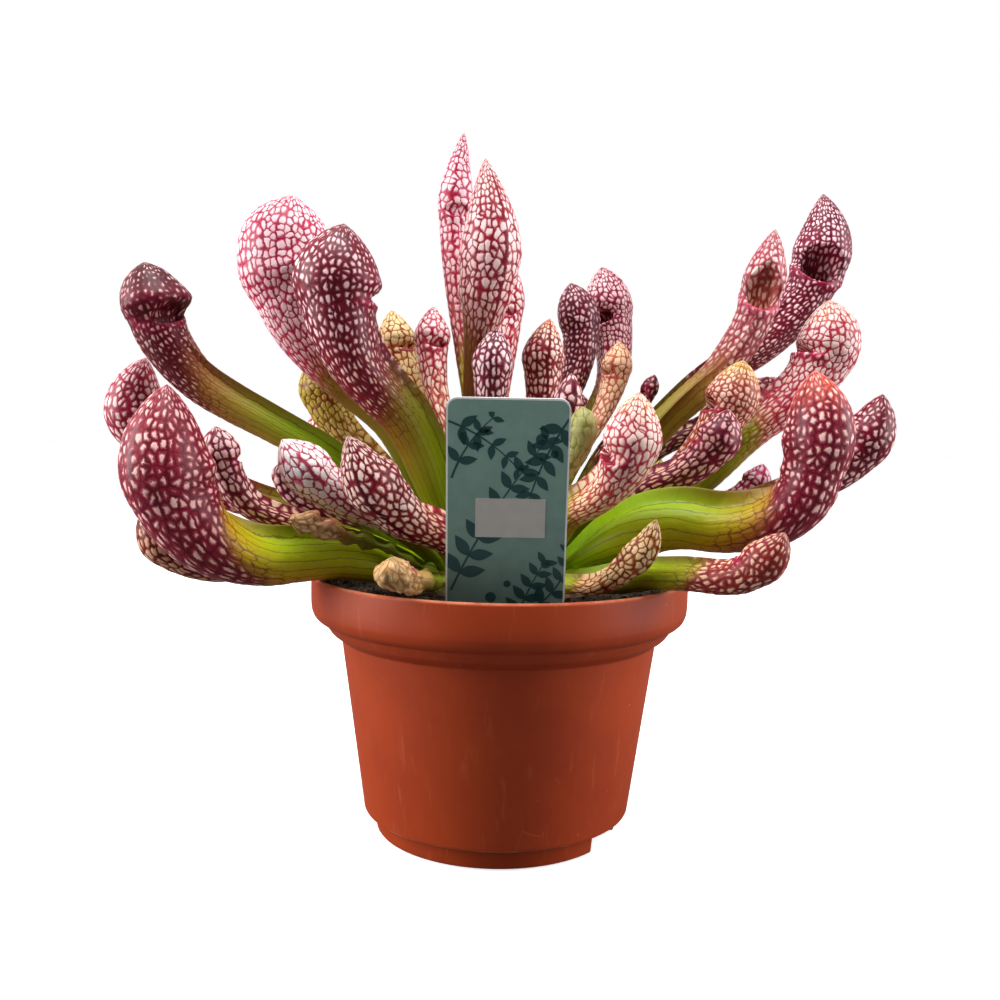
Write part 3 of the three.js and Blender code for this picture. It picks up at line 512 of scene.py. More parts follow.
    "rear_04": dict(tone="maroon", faces=120, tube=10, hood=16, hoodLength=20, gape=0.4,
        path=[(-22, 34, 97), (-33, 50, 104), (-37, 56, 120)]),
    "rear_05": dict(tone="pink", faces=145, tube=9, hood=14, hoodLength=18, gape=0.4, small=True,
        path=[(-38, 27, 104), (-62, 44, 116), (-70, 50, 133)]),
    "rear_06": dict(tone="olive", faces=45, tube=9, hood=14, hoodLength=18, gape=0.4, small=True,
        path=[(36, 34, 98), (53, 50, 106), (59, 55, 121)]),
}


def curvePoints(points, shares):  # centripetal spline through points, at shares 0..1 of its parameter
    points = np.asarray(points, float)
    count = len(points)
    place = np.asarray(shares) * (count - 1)
    piece = np.minimum(place.astype(int), count - 2)
    t = (place - piece)[:, None]
    ends = np.vstack([2 * points[0] - points[1], points, 2 * points[-1] - points[-2]])
    p0, p1, p2, p3 = (ends[piece + k] for k in range(4))
    d0, d1, d2 = (np.sqrt(np.linalg.norm(b - a, axis=1))[:, None] for a, b in ((p0, p1), (p1, p2), (p2, p3)))
    first = ((p1 - p0) / d0 - (p2 - p0) / (d0 + d1) + (p2 - p1) / d1) * d1
    last = ((p2 - p1) / d1 - (p3 - p1) / (d1 + d2) + (p3 - p2) / d2) * d1
    return p1 + first * t + (3 * (p2 - p1) - 2 * first - last) * t**2 + (2 * (p1 - p2) + first + last) * t**3


def distancesAlong(points):
    return np.concatenate([[0], np.cumsum(np.linalg.norm(np.diff(points, axis=0), axis=1))])


def evenPoints(points, count):
    shares = np.linspace(0, 1, 241)
    lengths = distancesAlong(curvePoints(points, shares))
    return curvePoints(points, np.interp(np.linspace(0, lengths[-1], count), lengths, shares))


form = {  # shares of the leaf's own width, or millimetres along the leaf and degrees round it
    "wing": 0.26, "wingSpread": 8, "slimness": 0.2, "waves": 0.008, "keel": 0.035, "keelSpread": 7,
    "lipLength": 2.2, "browLength": 3.6, "hollowWidth": 0.84, "hollowLean": 0.3,
    "roundness": 2.2,  # of the opening's outline: 2 is an ellipse
    "crowding": 0.6,  # how much closer together the points are at the wing and the mouth
}


def unit(vectors):
    return vectors / np.linalg.norm(vectors, axis=1, keepdims=True)


def bell(x, width, power=2):
    return np.exp(-((x / width) ** power))


def halfWidth(entry, distance, length):  # the hood is widest at 0.32 of its length and closes from there
    hood, tubeWidth, root = entry["hood"], entry["tube"], 2 * leaf["rootRadius"]
    lip = length - entry["hoodLength"]
    throat = entry.get("neck", 0.86) * hood
    u = distance / lip
    low = root + (tubeWidth - root) * smooth(u / 0.45)
    tube = (low + (throat - tubeWidth) * np.clip((u - 0.4) / 0.6, 0, 1) ** entry.get("flare", 1.6)) / 2
    s = (distance - lip) / entry["hoodLength"]
    swell = (throat + (hood - throat) * smooth(s / 0.32)) / 2
    close = (hood / 2) * (1 - np.clip((s - 0.32) / 0.68, 0, 1) ** entry.get("taper", 1.9)) ** 0.85
    return np.where(distance <= lip, tube, np.where(s < 0.32, swell, close))


def wingHeight(entry, distance, length):
    u = distance / (length - entry["hoodLength"])
    return form["wing"] * entry["tube"] * smooth(u / 0.25) * (1 - smooth((u - 0.72) / 0.28))


def middlePoints(entry, index):  # the root in its socket, then points along the leaf
    x, y, z = entry["path"][0]
    reach = math.hypot(x, y)
    flatness = min(1, max(0, reach / (z - crown["top"]) / 1.6))
    radius = 4 + (soil["crownRadius"] - 9) * flatness + index % 3  # flat leaves grow further out
    root = np.array([x / reach * radius, y / reach * radius, socketBottom])
    above = [root + (0, 0, crown["stub"]), *entry["path"]]
    return np.vstack([[root], evenPoints(above, leaf["samples"] - 1)])


easing = {
    "rounds": 300, "ways": (0.8, 1.2, 0.8), "longest": 1.2, "share": 0.5,  # of a push on a point
    "keep": 0.7, "follow": 0.15,  # the shares of a point's own move and of each neighbour's
    "wingRoom": 0.3, "socketWall": 1.6, "rise": 0.4, "rimBand": 5, "labelRoom": 1,
}


def easeApart():  # moves the leaves' middle lines clear of each other, the rim and the label, as in the frame
    points, radii, halves = [], [], []
    for index, entry in enumerate(pitchers.values()):
        line = middlePoints(entry, index)
        distances = distancesAlong(line)
        half = halfWidth(entry, distances, distances[-1])
        wing = wingHeight(entry, distances, distances[-1])
        radius = half * 0.98 + wing * easing["wingRoom"] + leaf["clearance"] / 2
        radius[0] = leaf["rootSpacing"] / 2
        radius[1] = max(radius[1], radius[0])
        points.append(line)
        radii.append(radius)
        halves.append(half)
    points, radii, halves = np.array(points), np.array(radii), np.array(halves)
    owner = np.repeat(np.arange(len(radii)), radii.shape[1])
    apart = np.where(owner[:, None] != owner[None, :], radii.reshape(-1, 1) + radii.reshape(1, -1), 0)
    slope = math.tan(math.radians(label["lean"]))
    rootReach = soil["crownRadius"] - leaf["rootRadius"] - easing["socketWall"]
    moved = np.zeros_like(points)
    for _ in range(easing["rounds"]):
        places = (points + moved).reshape(-1, 3)
        square = (places**2).sum(1)
        distance = np.sqrt(np.maximum(square[:, None] + square[None, :] - 2 * places @ places.T, 1e-12))
        near = np.maximum(apart - distance, 0) * 0.5 / distance
        pushes = (near.sum(1)[:, None] * places - near @ places).reshape(points.shape) * easing["ways"]
        pushes[:, 0] += pushes[:, 1]
        size = np.maximum(np.linalg.norm(pushes, axis=2, keepdims=True), 1e-9)
        ahead = moved + pushes * np.minimum(1, easing["longest"] / size) * easing["share"]
        root = points[:, 0] + ahead[:, 0]
        root[:, :2] *= np.minimum(1, rootReach / np.linalg.norm(root[:, :2], axis=1))[:, None]
        root[:, 2] = socketBottom
        after = np.concatenate([ahead[:, 1:], ahead[:, -1:]], axis=1)
        before = np.concatenate([ahead[:, :1], ahead[:, :-1]], axis=1)
        place = points + ahead * easing["keep"] + before * easing["follow"] + after * easing["follow"]
        x, y, z = (place[..., k] for k in range(3))
        reach = np.hypot(x, y)
        ground = np.where(reach < soil["crownRadius"] + radii, crown["top"], soil["top"])
        below = ground + easing["rise"]
        nearRim = np.abs(reach - rim + 1) < easing["rimBand"] + 0.5 * radii
        z[:] = np.maximum(z, np.where(nearRim, potTop, below) + halves + leaf["gap"])
        labelY = label["footY"] - (z - potTop) * slope + radii + easing["labelRoom"]
        behind = (np.abs(x - label["centreX"]) < label["width"] / 2 + radii) & (z < label["top"] + radii)
        y[:] = np.where(behind, np.maximum(y, labelY), y)
        moved = place - points
        moved[:, 0] = moved[:, 1] = root - points[:, 0]
    return points + moved


def rowsAlong(lip, brow, length, step):  # closer together through the mouth and towards the tip
    tube = np.arange(0, lip - 2, step)
    mouth = np.linspace(lip - 2, brow + 2, max(14, int((brow - lip + 4) / (0.42 * step))), endpoint=False)
    share = np.linspace(0, 1, max(14, int((length - brow - 2) / (0.75 * step))), endpoint=False)
    return np.concatenate([tube, mouth, brow + 2 + (length - brow - 2) * (1 - (1 - share) ** 1.6)])


def pitcherShape(entry, look, middle, seed):
    # its middle line, with the directions towards its inner side and across at each row of points
    small = entry.get("small", False)
    mouth = {**(smallMouth if small else mouthShape), **entry.get("mouth", {})}
    n, step = (leaf["smallColumns"], leaf["smallRowStep"]) if small else (leaf["columns"], leaf["rowStep"])
    line = evenPoints(middle, leaf["linePoints"])
    length = distancesAlong(line)[-1]
    lip = length - entry["hoodLength"] + mouth["rise"]
    brow = lip + entry["gape"] * entry["hoodLength"]
    at = rowsAlong(lip, brow, length, step)
    rows, v = len(at), at[:, None]

    def sample(place):
        return np.stack([np.interp(place, np.arange(len(line)), line[:, k]) for k in range(3)], axis=1)

    spot = at / length * (len(line) - 1)
    along = unit(sample(spot + 2.5) - sample(spot - 2.5))
    faces = math.radians(entry["faces"])
    inner = unit(np.cross(along, (-math.sin(faces), math.cos(faces), 0)))
    across = np.cross(inner, along)
    turn = math.radians(entry.get("twist", 0)) * smooth(v / lip)
    inner, across = inner * np.cos(turn) - across * np.sin(turn), across * np.cos(turn) + inner * np.sin(turn)

    # its section: a slim tube with a wing in front, a rolled lip and brow, and a keel down the hood's back
    ring = np.arange(n + 1) / n
    ring = ring - form["crowding"] * np.sin(turnAll * ring) / turnAll
    around = ring[:-1] * turnAll
    angle = np.where(around > math.pi, around - turnAll, around)[None, :]
    away = np.abs(np.degrees(angle))
    aside = np.abs((np.degrees(angle) - mouth["turn"] + 180) % 360 - 180)
    wing = wingHeight(entry, v, length)
    front = smooth((mouth["spread"] + 40 - aside) / 36)
    lipAt = lip + mouth["dip"] * (0.4 - np.clip(1 - (aside / (mouth["spread"] + 18)) ** 2, 0, 1))
    atLip = bell(v - lipAt, form["lipLength"]) * front
    atBrow = bell(v - brow, form["browLength"]) * front
    random = np.random.default_rng(seed)
    pace, phase = random.uniform(0.05, 0.16, 3), random.uniform(0, 6, 3)
    waves = sum(np.sin(angle * (k + 1) + v * pace[k] + phase[k]) for k in range(3))
    rolled = mouth["lipRoll"] * atLip + mouth["browRoll"] * atBrow
    radius = halfWidth(entry, v, length) * (1 + rolled - form["waves"] * (waves + 3) * smooth(v / 20))
    slim = 1 - form["slimness"] * (1 - smooth((v / lip - 0.55) / 0.45))
    ridge = bell(away, form["wingSpread"], 1.6)
    keel = 0 if small else form["keel"] * bell(180 - away, form["keelSpread"]) * smooth((v - lip) / 6)
    inward = np.cos(angle) * (radius - wing / 2) * (1 + keel) - wing / 2 + wing * ridge
    sideways = np.sin(angle) * radius * slim

    # its mouth: upper runs from the lip to the brow, and edge is 1 on the opening's outline
    upper = smooth((v - lipAt) / (brow - lipAt))
    a = aside / (mouth["spread"] * (1 - mouth["point"] * upper))
    b = 2 * (v - lipAt) / (brow - lipAt) / mouth["height"] - 1  # the opening starts at the lip
    edge = (a ** form["roundness"] + np.abs(b) ** form["roundness"]) ** (1 / form["roundness"])
    soft = 0.3 + 0.5 * upper  # the lip is crisp, while the hood curves over gradually
    inside = (1 - smooth((edge - 0.96 + soft) / soft)) * mouth["depth"]
    sunk = np.clip(inside, 0, 1)
    floor = radius * (0.25 * a * a - 0.5 + mouth["slope"] * upper)  # the hollow is deepest behind the lip
    turned, tilted = math.cos(math.radians(mouth["turn"])), math.sin(math.radians(mouth["turn"]))
    side = sideways * turned - inward * tilted  # along the opening's width
    inward = inward + (floor * turned - side * tilted - inward) * sunk
    sideways = sideways + (floor * tilted + side * form["hollowWidth"] * turned - sideways) * sunk
    forward = b * form["hollowLean"] * (brow - lip) * inside
    moves = ((inner, inward), (across, sideways), (along, forward))
    spots = sample(spot)[:, None, :] + sum(way[:, None, :] * much[..., None] for way, much in moves)
    low, high = (np.array(corner) / mm for corner in cadBox)
    margin = 0.3 + (skin["crumple"] if entry["tone"] == "dry" else 0)
    over = np.maximum(low + margin - spots.min((0, 1)), 0) - np.maximum(spots.max((0, 1)) - high + margin, 0)
    bend = over * smooth(v / lip)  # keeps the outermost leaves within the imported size
    spots = spots + bend[:, None, :]
    verts = np.vstack([spots.reshape(-1, 3), line[:1], line[-1:] + bend[-1:]]) * mm

    # its faces, and the net's own map: one unit is one cell of the net
    r, c = np.meshgrid(np.arange(rows - 1), np.arange(n), indexing="ij")
    d = (c + 1) % n
    quads = np.stack([r * n + c, (r + 1) * n + c, (r + 1) * n + d, r * n + d], axis=-1).reshape(-1, 4)
    c1, d1 = c[0], d[0]
    rootFan = np.stack([np.full(n, rows * n), c1, d1], axis=-1)
    tipFan = np.stack([(rows - 1) * n + c1, np.full(n, rows * n + 1), (rows - 1) * n + d1], axis=-1)
    swell = float(halfWidth(entry, np.array([lip + 0.35 * entry["hoodLength"]]), length)[0])
    veins = max(5, round(turnAll * swell / (skin["cellWidth"] * skin["cellsPerVein"] * look["cells"])))
    growth = np.where(at < lip, 2 - at / lip, 0.55 + 0.45 * halfWidth(entry, at, length) / swell)
    climb = np.cumsum(np.diff(at) / (skin["cellHeight"] * look["cells"] * growth[:-1]))
    uAt = ring * skin["cellsPerVein"] * veins + skin["cellsPerVein"] * 31 * (seed % 40)
    vAt = np.concatenate([[0], climb]) + 17.0 * (seed % 23)

    def corners(*pairs):
        return np.stack([np.stack(np.broadcast_arrays(*pair), -1) for pair in pairs], axis=-2).reshape(-1, 2)

    left, right, low, high = uAt[c], uAt[c + 1], vAt[r], vAt[r + 1]
    loops = [corners((left, low), (left, high), (right, high), (right, low))]
    left, right, low, high = uAt[c1], uAt[c1 + 1], vAt[0], vAt[-1]
    loops += [corners((left, low), (left, low), (right, low))]
    loops += [corners((left, high), (left, high + 0.2), (right, high))]

    # its colours and the strength of its net
    share = v / lip
    back = (1 - np.cos(angle)) / 2
    # painted shade: the ground, windows and veins darken towards the leaf's left and right flanks
    flankShade = np.abs(np.sin(angle)) ** 5
    hollow = inside * (1 - 0.7 * upper)  # the mouth's own inside colour, with painted shade deepest in the hollow behind the lip
    shaded = look["faceShade"] * smooth((110 - aside) / 60) * smooth((v - lip) / 5)
    midrib = bell(180 - away, 42 / swell) * look["midrib"] * smooth(share / 0.6)
    lowShare = smooth((lip + look["lowRise"] - v) / (0.36 * lip))
    topShare = smooth((share - look["topFrom"]) / (0.92 - look["topFrom"]))
    wingShare = 0.7 * bell(away, 9) * smooth((share - 0.3) / 0.35) * (v < lip)
    tipShare = smooth((v - lip) / entry["hoodLength"] * 2.2 - 1.1)

    def layered(first, others):  # a colour, and others laid over it by their shares
        made = np.array(look[first])
        for name, much in others:
            much = np.clip(np.broadcast_to(much, (rows, n)), 0, 1)[..., None]
            made = made + (np.array(look[name]) - made) * much
        return made

    flushShare = back * 0.75 * smooth((share - 0.08) / 0.5)
    rootShare = 0.8 * (1 - smooth(share / 0.16))
    lipShare = 0.85 * (atLip + 0.4 * atBrow)
    overTube = ("tubeTop", topShare), ("flush", flushShare), ("root", rootShare), ("wing", wingShare)
    overGround = ("tip", tipShare), ("vein", 0.45 * flankShade), ("vein", shaded), ("lip", lipShare)
    overGround += ("inside", hollow), ("lowGround", 0.8 * lowShare), ("vein", midrib)
    # windows and veins in the mouth take on the inside colours, partly as painted shade in the hollow
    overWindow = ("ground", 0.3 * flankShade), ("lowWindow", 0.7 * lowShare), ("insideWindow", hollow * 0.9)
    overVein = ("shade", 0.4 * flankShade), ("inside", hollow * 0.5)
    reach = look["netFull"] - look["netFrom"]
    fading = 1 - look["fading"] * smooth((lip - v) / 24)  # smaller windows on the tube
    closing = (1 - 0.45 * atLip) * (1 - 0.4 * hollow) * (1 - midrib) * (1 - 0.5 * shaded)
    layers = {
        "netShare": smooth((share - look["netFrom"] + look["backReach"] * (back - 0.5)) / reach),
        "openShare": look["open"] * closing * fading,
        "quilt": smooth((share - 0.3) / 0.4) * (1 - inside) * (1 - ridge) * smooth((length - v) / 3),
        "groundTint": layered("ground", overGround),
        "windowTint": layered("window", overWindow),
        "tubeTint": layered("tube", overTube),
        "veinTint": layered("vein", overVein),
    }
    for name, values in layers.items():  # the rows of the leaf, then its root and its tip
        flat = values.reshape(rows * n, -1)
        layers[name] = np.concatenate([flat, flat[:1], flat[-n:][:1]])
    return verts, [quads, rootFan, tipFan], np.concatenate(loops), layers


def meshFrom(name, verts, faceGroups, uv, layers):
    mesh = bpy.data.meshes.new(name)
    mesh.from_pydata(verts.tolist(), [], [face for group in faceGroups for face in group.tolist()])
    mesh.uv_layers.new(name="net").data.foreach_set("uv", uv.astype(np.float32).ravel())
    for key, values in layers.items():
        kind, part = ("FLOAT_COLOR", "color") if values.shape[1] == 4 else ("FLOAT", "value")
        mesh.attributes.new(key, kind, "POINT").data.foreach_set(part, values.astype(np.float32).ravel())
    mesh.shade_smooth()
    return mesh


def netDistance(uv, place):  # the wavering map, the distance in cells to a vein and the one to a main vein
    bent = uv
    for scale, detail, much in ((210, 2, 0.7), (950, 1, 0.34)):
        waver = place.noise(scale, detail, output="Color").vector("SUBTRACT", (0.5, 0.5, 0.5))
        bent = bent.vector("ADD", waver.vector("MULTIPLY", (much, much, 0)))
    net = bent.cells("DISTANCE_TO_EDGE", 1.0, skin["cellSpread"], "2D")
    between = 0.5 + skin["cellSpread"] / 2  # where the borders between columns of cells lie
    rib = (bent.part("X") - between).calc("PINGPONG", skin["cellsPerVein"] / 2)
    return bent, net - rib.step(0.0, 0.5, 1, 0) * skin["mainVein"], rib


def makeLeafMaterial():
    material, tree, place = newMaterial("pitcherSkin")

    def given(name, output="Color"):
        return field(tree, "ShaderNodeAttribute", output, attribute_name=name)

    bent, net, rib = netDistance(field(tree, "ShaderNodeUVMap", "UV", uv_map="net"), place)
    cell = bent.cells("F1", 1.0, skin["cellSpread"], "2D")
    chance = cell.other("Color").part("X")
    cloud, grain = place.noise(90), place.noise(1500)
    opened, share = given("openShare", "Fac"), given("netShare", "Fac")
    windowTint, veinTint = given("windowTint"), given("veinTint")
    edge = (share + (cloud - 0.5) * 0.5).step(0.3, 0.9)
    gap = net.calc("SMOOTH_MIN", (0.66 - cell) * 0.85, 0.12)  # rounds the windows' corners
    limit = 0.38 - opened * 0.42 + (cloud - 0.5) * 0.22
    limit = limit + (chance - 0.5) * (0.24 - opened * 0.26) + edge.step(0.0, 0.9, 0.14, 0)
    depth = gap - limit
    window = depth.step(-0.05, 0.06) * share.step(0.15, 0.5)
    halo = depth.step(-0.16, 0.0, 0, 0.3)
    fine, rough = net.step(0.0, 0.11, 1, 0), rib.step(0.02, 0.16, 1, 0)
    threads = (fine * share.step(0.0, 0.35, 0.1, 0.8)).calc("MAXIMUM", rough * 0.75)
    tube = blend(tree, cloud.step(0.35, 0.7, 0, 0.3), given("tubeTint"), skin["tubeShade"], "SOFT_LIGHT")
    ground = blend(tree, edge, tube, given("groundTint"))
    ground = blend(tree, halo * edge, ground, windowTint)
    vein = blend(tree, edge, blend(tree, 0.55, veinTint, skin["tubeVein"]), veinTint)
    weight = fine * (edge * 0.85) + threads * (1 - edge)
    ground = blend(tree, weight * 0.95, ground, vein)
    paleness = blend(tree, chance * 0.22 + edge.step(0.2, 1, 0.45, 0), windowTint, ground)
    color = blend(tree, window, ground, paleness)
    bump = (window * 0.6 + grain * 0.25, skin["bump"] * mm, 0.7)
    setShader(tree, color, cloud * 0.12 + skin["roughness"], bump, **{"Specular IOR Level": skin["gloss"]})
    return material


def makeQuiltTree(material):  # the skin bulges between the veins of its net
    tree, inputs = newTree("quiltedSkin", Depth=0.0001, Fold=0.0)
    named = "GeometryNodeInputNamedAttribute"
    uv = field(tree, named, "Attribute", {"Name": "net"}, data_type="FLOAT_VECTOR")
    quilt = field(tree, named, "Attribute", {"Name": "quilt"}, data_type="FLOAT")
    place = field(tree, "GeometryNodeInputPosition", "Position")
    net = netDistance(uv, place)[1]
    crumple = place.cells("DISTANCE_TO_EDGE", 110.0).step(0.0, 0.35) * 0.8 + place.noise(260, 2)
    amount = net.step(0.0, 0.4) * quilt * inputs["Depth"] + (crumple - 0.95) * inputs["Fold"]
    offset = field(tree, "GeometryNodeInputNormal", "Normal").scaled(amount)
    moves = {"Geometry": inputs["Geometry"], "Offset": offset}
    closeTree(tree, field(tree, "GeometryNodeSetPosition", "Geometry", moves), material)
    return tree


def makePitchers():
    middles = easeApart()
    tree = makeQuiltTree(makeLeafMaterial())
    for index, (name, entry) in enumerate(pitchers.items()):
        look = {**plainLook, **tones[entry["tone"]], **entry.get("look", {})}
        look = {key: srgb(value) if isinstance(value, str) else value for key, value in look.items()}
        look = {"tip": look["ground"], "lowGround": look["ground"], **look}
        shape = pitcherShape(entry, look, middles[index], index + 1)
        piece = newPiece("leaf_" + name, meshFrom(name, *shape))
        fold = skin["crumple"] * mm if entry["tone"] == "dry" else 0.0
        runTree(piece, tree, Depth=skin["quiltDepth"] * mm, Fold=fold)
        standFor(piece, "leaf_" + entry["tone"], "pitcher_" + name)
    print("leaves:", len(pitchers), "pitchers")


makePitchers()


# ---- nursery pot
def roundCorners(points, radius, steps=4):  # softens the corners of an open profile
    made = [points[0]]
    for before, corner, after in zip(points, points[1:], points[2:]):
        before, corner, after = Vector(before), Vector(corner), Vector(after)
        reach = min(radius, (corner - before).length * 0.45, (corner - after).length * 0.45)
        start = corner + (before - corner).normalized() * reach
        end = corner + (after - corner).normalized() * reach
        for k in range(steps + 1):
            t = k / steps
            made.append(tuple(start * (1 - t) ** 2 + corner * 2 * t * (1 - t) + end * t * t))
    return [*made, points[-1]]


def lathe(points, sides, name):  # points: radius and height, from the axis below round to the axis above
    rows = [p for p in points if p[0] > 1e-6]
    turn = np.arange(sides) / sides * turnAll
    verts = [(r * math.cos(a), r * math.sin(a), z) for r, z in rows for a in turn]
    verts += [(0, 0, points[0][1]), (0, 0, points[-1][1])]
    last = (len(rows) - 1) * sides
    faces = []
    for c in range(sides):
        d = (c + 1) % sides
        faces.append((len(verts) - 2, d, c))
        faces += [(k + c, k + d, k + sides + d, k + sides + c) for k in range(0, last, sides)]
        faces.append((last + c, last + d, len(verts) - 1))
    mesh = bpy.data.meshes.new(name)
    mesh.from_pydata([(x * mm, y * mm, z * mm) for x, y, z in verts], [], faces)
    return mesh


def meshOf(shape, name):
    mesh = bpy.data.meshes.new(name)
    shape.to_mesh(mesh)
    shape.free()
    return mesh


def potProfile():
    within = rim - wall
    inFoot = foot - pot["footWidth"]
    under = [(0, pot["floorBottom"]), (inFoot - 0.4, pot["floorBottom"]), (inFoot, 0)]
    outside = [
        (foot, 0), (foot + 0.5, pot["footTop"] - 0.9), (base - 0.5, pot["footTop"]),
        (base, pot["footTop"] + 0.6), (shoulder, stepBottom - 0.5), (shoulder + 0.9, stepBottom),
        (stepOut - 2, stepBottom + 1.8), (stepOut - 0.5, stepBottom + 4), (stepOut, stepTop),
        (stepOut + 1.9, stepTop + 0.8), (rim - 1, band - 2), (rim - 0.2, band), (rim, band + 2.5),
        (rim, potTop - 0.6), (rim - 0.6, potTop),
    ]
    inside = [
        (within + 0.2, potTop), (within, potTop - 0.6), (within, band + 1.5), (within - 1.6, band - 1.4),
        (stepOut - wall, stepTop + 0.4), (stepOut - wall - 0.5, stepBottom + 4.6),
        (shoulder - wall, stepBottom + 0.6), (base - wall, floorTop + 1.4), (base - wall - 1.4, floorTop),
        (0, floorTop),
    ]
    return roundCorners(under + outside + inside, 0.8)


def makeCutters():  # boxes for the notches in the foot and rods for the drain holes
    notch = Matrix.Diagonal((4 * pot["footWidth"], pot["footGapWidth"], 2 * pot["footGapHeight"], 1))
    rod = {"segments": 28, "radius1": pot["holeRadius"], "radius2": pot["holeRadius"], "depth": 14}
    drain = (pot["holeCircle"], 0, pot["floorBottom"])
    kinds = (
        (bmesh.ops.create_cube, {"size": 1, "matrix": notch}, pot["footGaps"], (foot, 0, 0)),
        (bmesh.ops.create_cone, {"cap_ends": True, **rod}, pot["holes"], drain),
    )
    cutters = []
    for create, values, count, place in kinds:
        for k in range(count):
            shape = bmesh.new()
            create(shape, **values)
            turn = Matrix.Rotation(math.radians(pot["footGapTurn"] + 360 / count * k), 4, "Z")
            shape.transform(Matrix.Scale(mm, 4) @ turn @ Matrix.Translation(place))
            cutters.append(newPiece("cutter", meshOf(shape, "cutter")))
    return cutters


def cutAway(piece, cutters):
    for cutter in cutters:
        modifier = piece.modifiers.new("cut", "BOOLEAN")
        modifier.object, modifier.solver = cutter, "EXACT"
    settle(piece)
    for cutter in cutters:
        bpy.data.meshes.remove(cutter.data)


def makePotMaterial():
    material, tree, place = newMaterial("terracottaPlastic")
    cloud, grain, height = place.noise(28, 4), place.noise(2200, 2), place.part("Z")
    color = blend(tree, cloud.step(0.3, 0.75), pot["color"], pot["deepColor"])
    streaks = place.vector("MULTIPLY", (1, 1, 0.12)).noise(340)
    color = blend(tree, streaks.step(0.58, 0.8, 0, 0.22), color, pot["streakColor"])
    bits = place.cells("F1", 330.0)
    rare = 0.96 - height.step(0.07, 0.082, 0, 0.1)  # there are more specks of dust near the rim
    speck = bits.step(0.04, 0.09, 1, 0) * bits.other("Color").part("X").step(rare, 1.0)
    color = blend(tree, speck * 0.8, color, pot["dustColor"])
    scuff = place.vector("MULTIPLY", (1, 1, 0.22)).cells("DISTANCE_TO_EDGE", 120.0)
    scuff = scuff.step(0.0, 0.008, 1, 0) * place.noise(60, 2).step(0.58, 0.66)
    color = blend(tree, scuff * 0.2, color, pot["scuffAndHighlightColor"])
    # painted highlight: paler bands on the rim's top edge and the foot's edge, where light catches them
    edgeHighlight = height.step((potTop - 0.8) * mm, (potTop - 0.15) * mm)
    footEdgeHighlight = (height - (pot["footTop"] + 0.35) * mm).calc("ABSOLUTE").step(0.00008, 0.00034, 1, 0)
    edgeHighlight = edgeHighlight.calc("MAXIMUM", footEdgeHighlight) * place.noise(120).step(0.4, 0.6, 0.15, 0.6)
    color = blend(tree, edgeHighlight, color, pot["scuffAndHighlightColor"])  # painted highlight along the rim's top edge and the foot's edge
    bump = (grain + cloud * 1.2, pot["bump"] * mm, 0.5)
    setShader(tree, color, cloud * 0.14 + pot["roughness"], bump, **{"Specular IOR Level": pot["gloss"]})
    return material


def makePot():
    piece = newPiece("nurseryPot", lathe(potProfile(), pot["sides"], "nurseryPot"))
    cutAway(piece, makeCutters())
    piece.data.shade_smooth()
    piece.data.set_sharp_from_angle(angle=math.radians(42))
    piece.data.materials.append(makePotMaterial())
    standFor(piece, "pot_plastic", "pot")
    print("pot: moulded, with foot notches and drain holes")


makePot()

# ---- peat, crumbs and the crown
peat = {
    "earths": {  # dark and light colour, fineness of the grain and depth of the bumps
        "moistPeat": (srgb("#2c1e16"), srgb("#563c2a"), 420, 0.5),
        "perlite": (srgb("#b0a696"), srgb("#d6cec0"), 700, 0.2),
        "plantFibre": (srgb("#543a24"), srgb("#7a5838"), 500, 0.1),
    },
    "hills": 26, "hillWaves": (60, 420), "hillHeight": 0.11, "crumbReach": 57.2,
    "crumbs": 300000.0, "perlite": 6500.0, "fibres": 16000.0,  # so many on a square metre
    "crumbSize": 0.95, "perliteSize": 1.0, "fibreLength": 5.0,
    # a grain's own shape in units of its size, its turns in radians and its stretch, each from and to
    "crumb": ("GeometryNodeMeshIcoSphere", {"Radius": 0.5, "Subdivisions": 1}),
    "crumbTurns": ((0.0, 0.0, 0.0), (6.283, 6.283, 6.283)),
    "crumbStretch": ((0.35, 0.35, 0.3), (1.7, 1.5, 1.1)),
    "fibre": ("GeometryNodeMeshCylinder", {"Vertices": 5, "Radius": 0.045, "Depth": 1.0}),
    "fibreTurns": ((1.35, -0.2, 0.0), (1.75, 0.2, 6.283)),
    "fibreStretch": ((0.7, 0.7, 0.35), (1.3, 1.3, 1.3)),
}
crownLook = {
    "color": srgb("#5c3e26"), "mossColor": srgb("#60682c"), "dryColor": srgb("#967046"),
    "hills": 22, "hillWaves": (200, 900), "hillHeight": 0.09, "highest": 4, "bump": 0.6,
}


def raiseHills(mesh, look, seed, lowest, reach=math.inf):  # adds waves of random lengths and directions
    random = np.random.default_rng(seed)
    waves = look["hillWaves"]
    hills = [(random.uniform(*waves), *random.uniform(0, 6.28, 2)) for _ in range(look["hills"])]
    for vert in mesh.vertices:
        x, y, z = vert.co
        if z > lowest * mm and math.hypot(x, y) < reach * mm:
            swell = sum(math.sin(f * (x * math.cos(a) + y * math.sin(a)) + p) for f, a, p in hills)
            vert.co.z += min(swell, look.get("highest", swell)) * look["hillHeight"] * mm


def makeEarthMaterial(name, dark, pale, scale, depth):
    material, tree, place = newMaterial(name)
    coarse, fine = place.noise(scale, 5, 0.7), place.noise(scale * 5, 4, 0.7)
    color = blend(tree, (coarse * 0.6 + fine * 0.4).step(0.42, 0.66), dark, pale)
    setShader(tree, color, 0.92, (coarse + fine, depth * mm, 0.9))
    return material


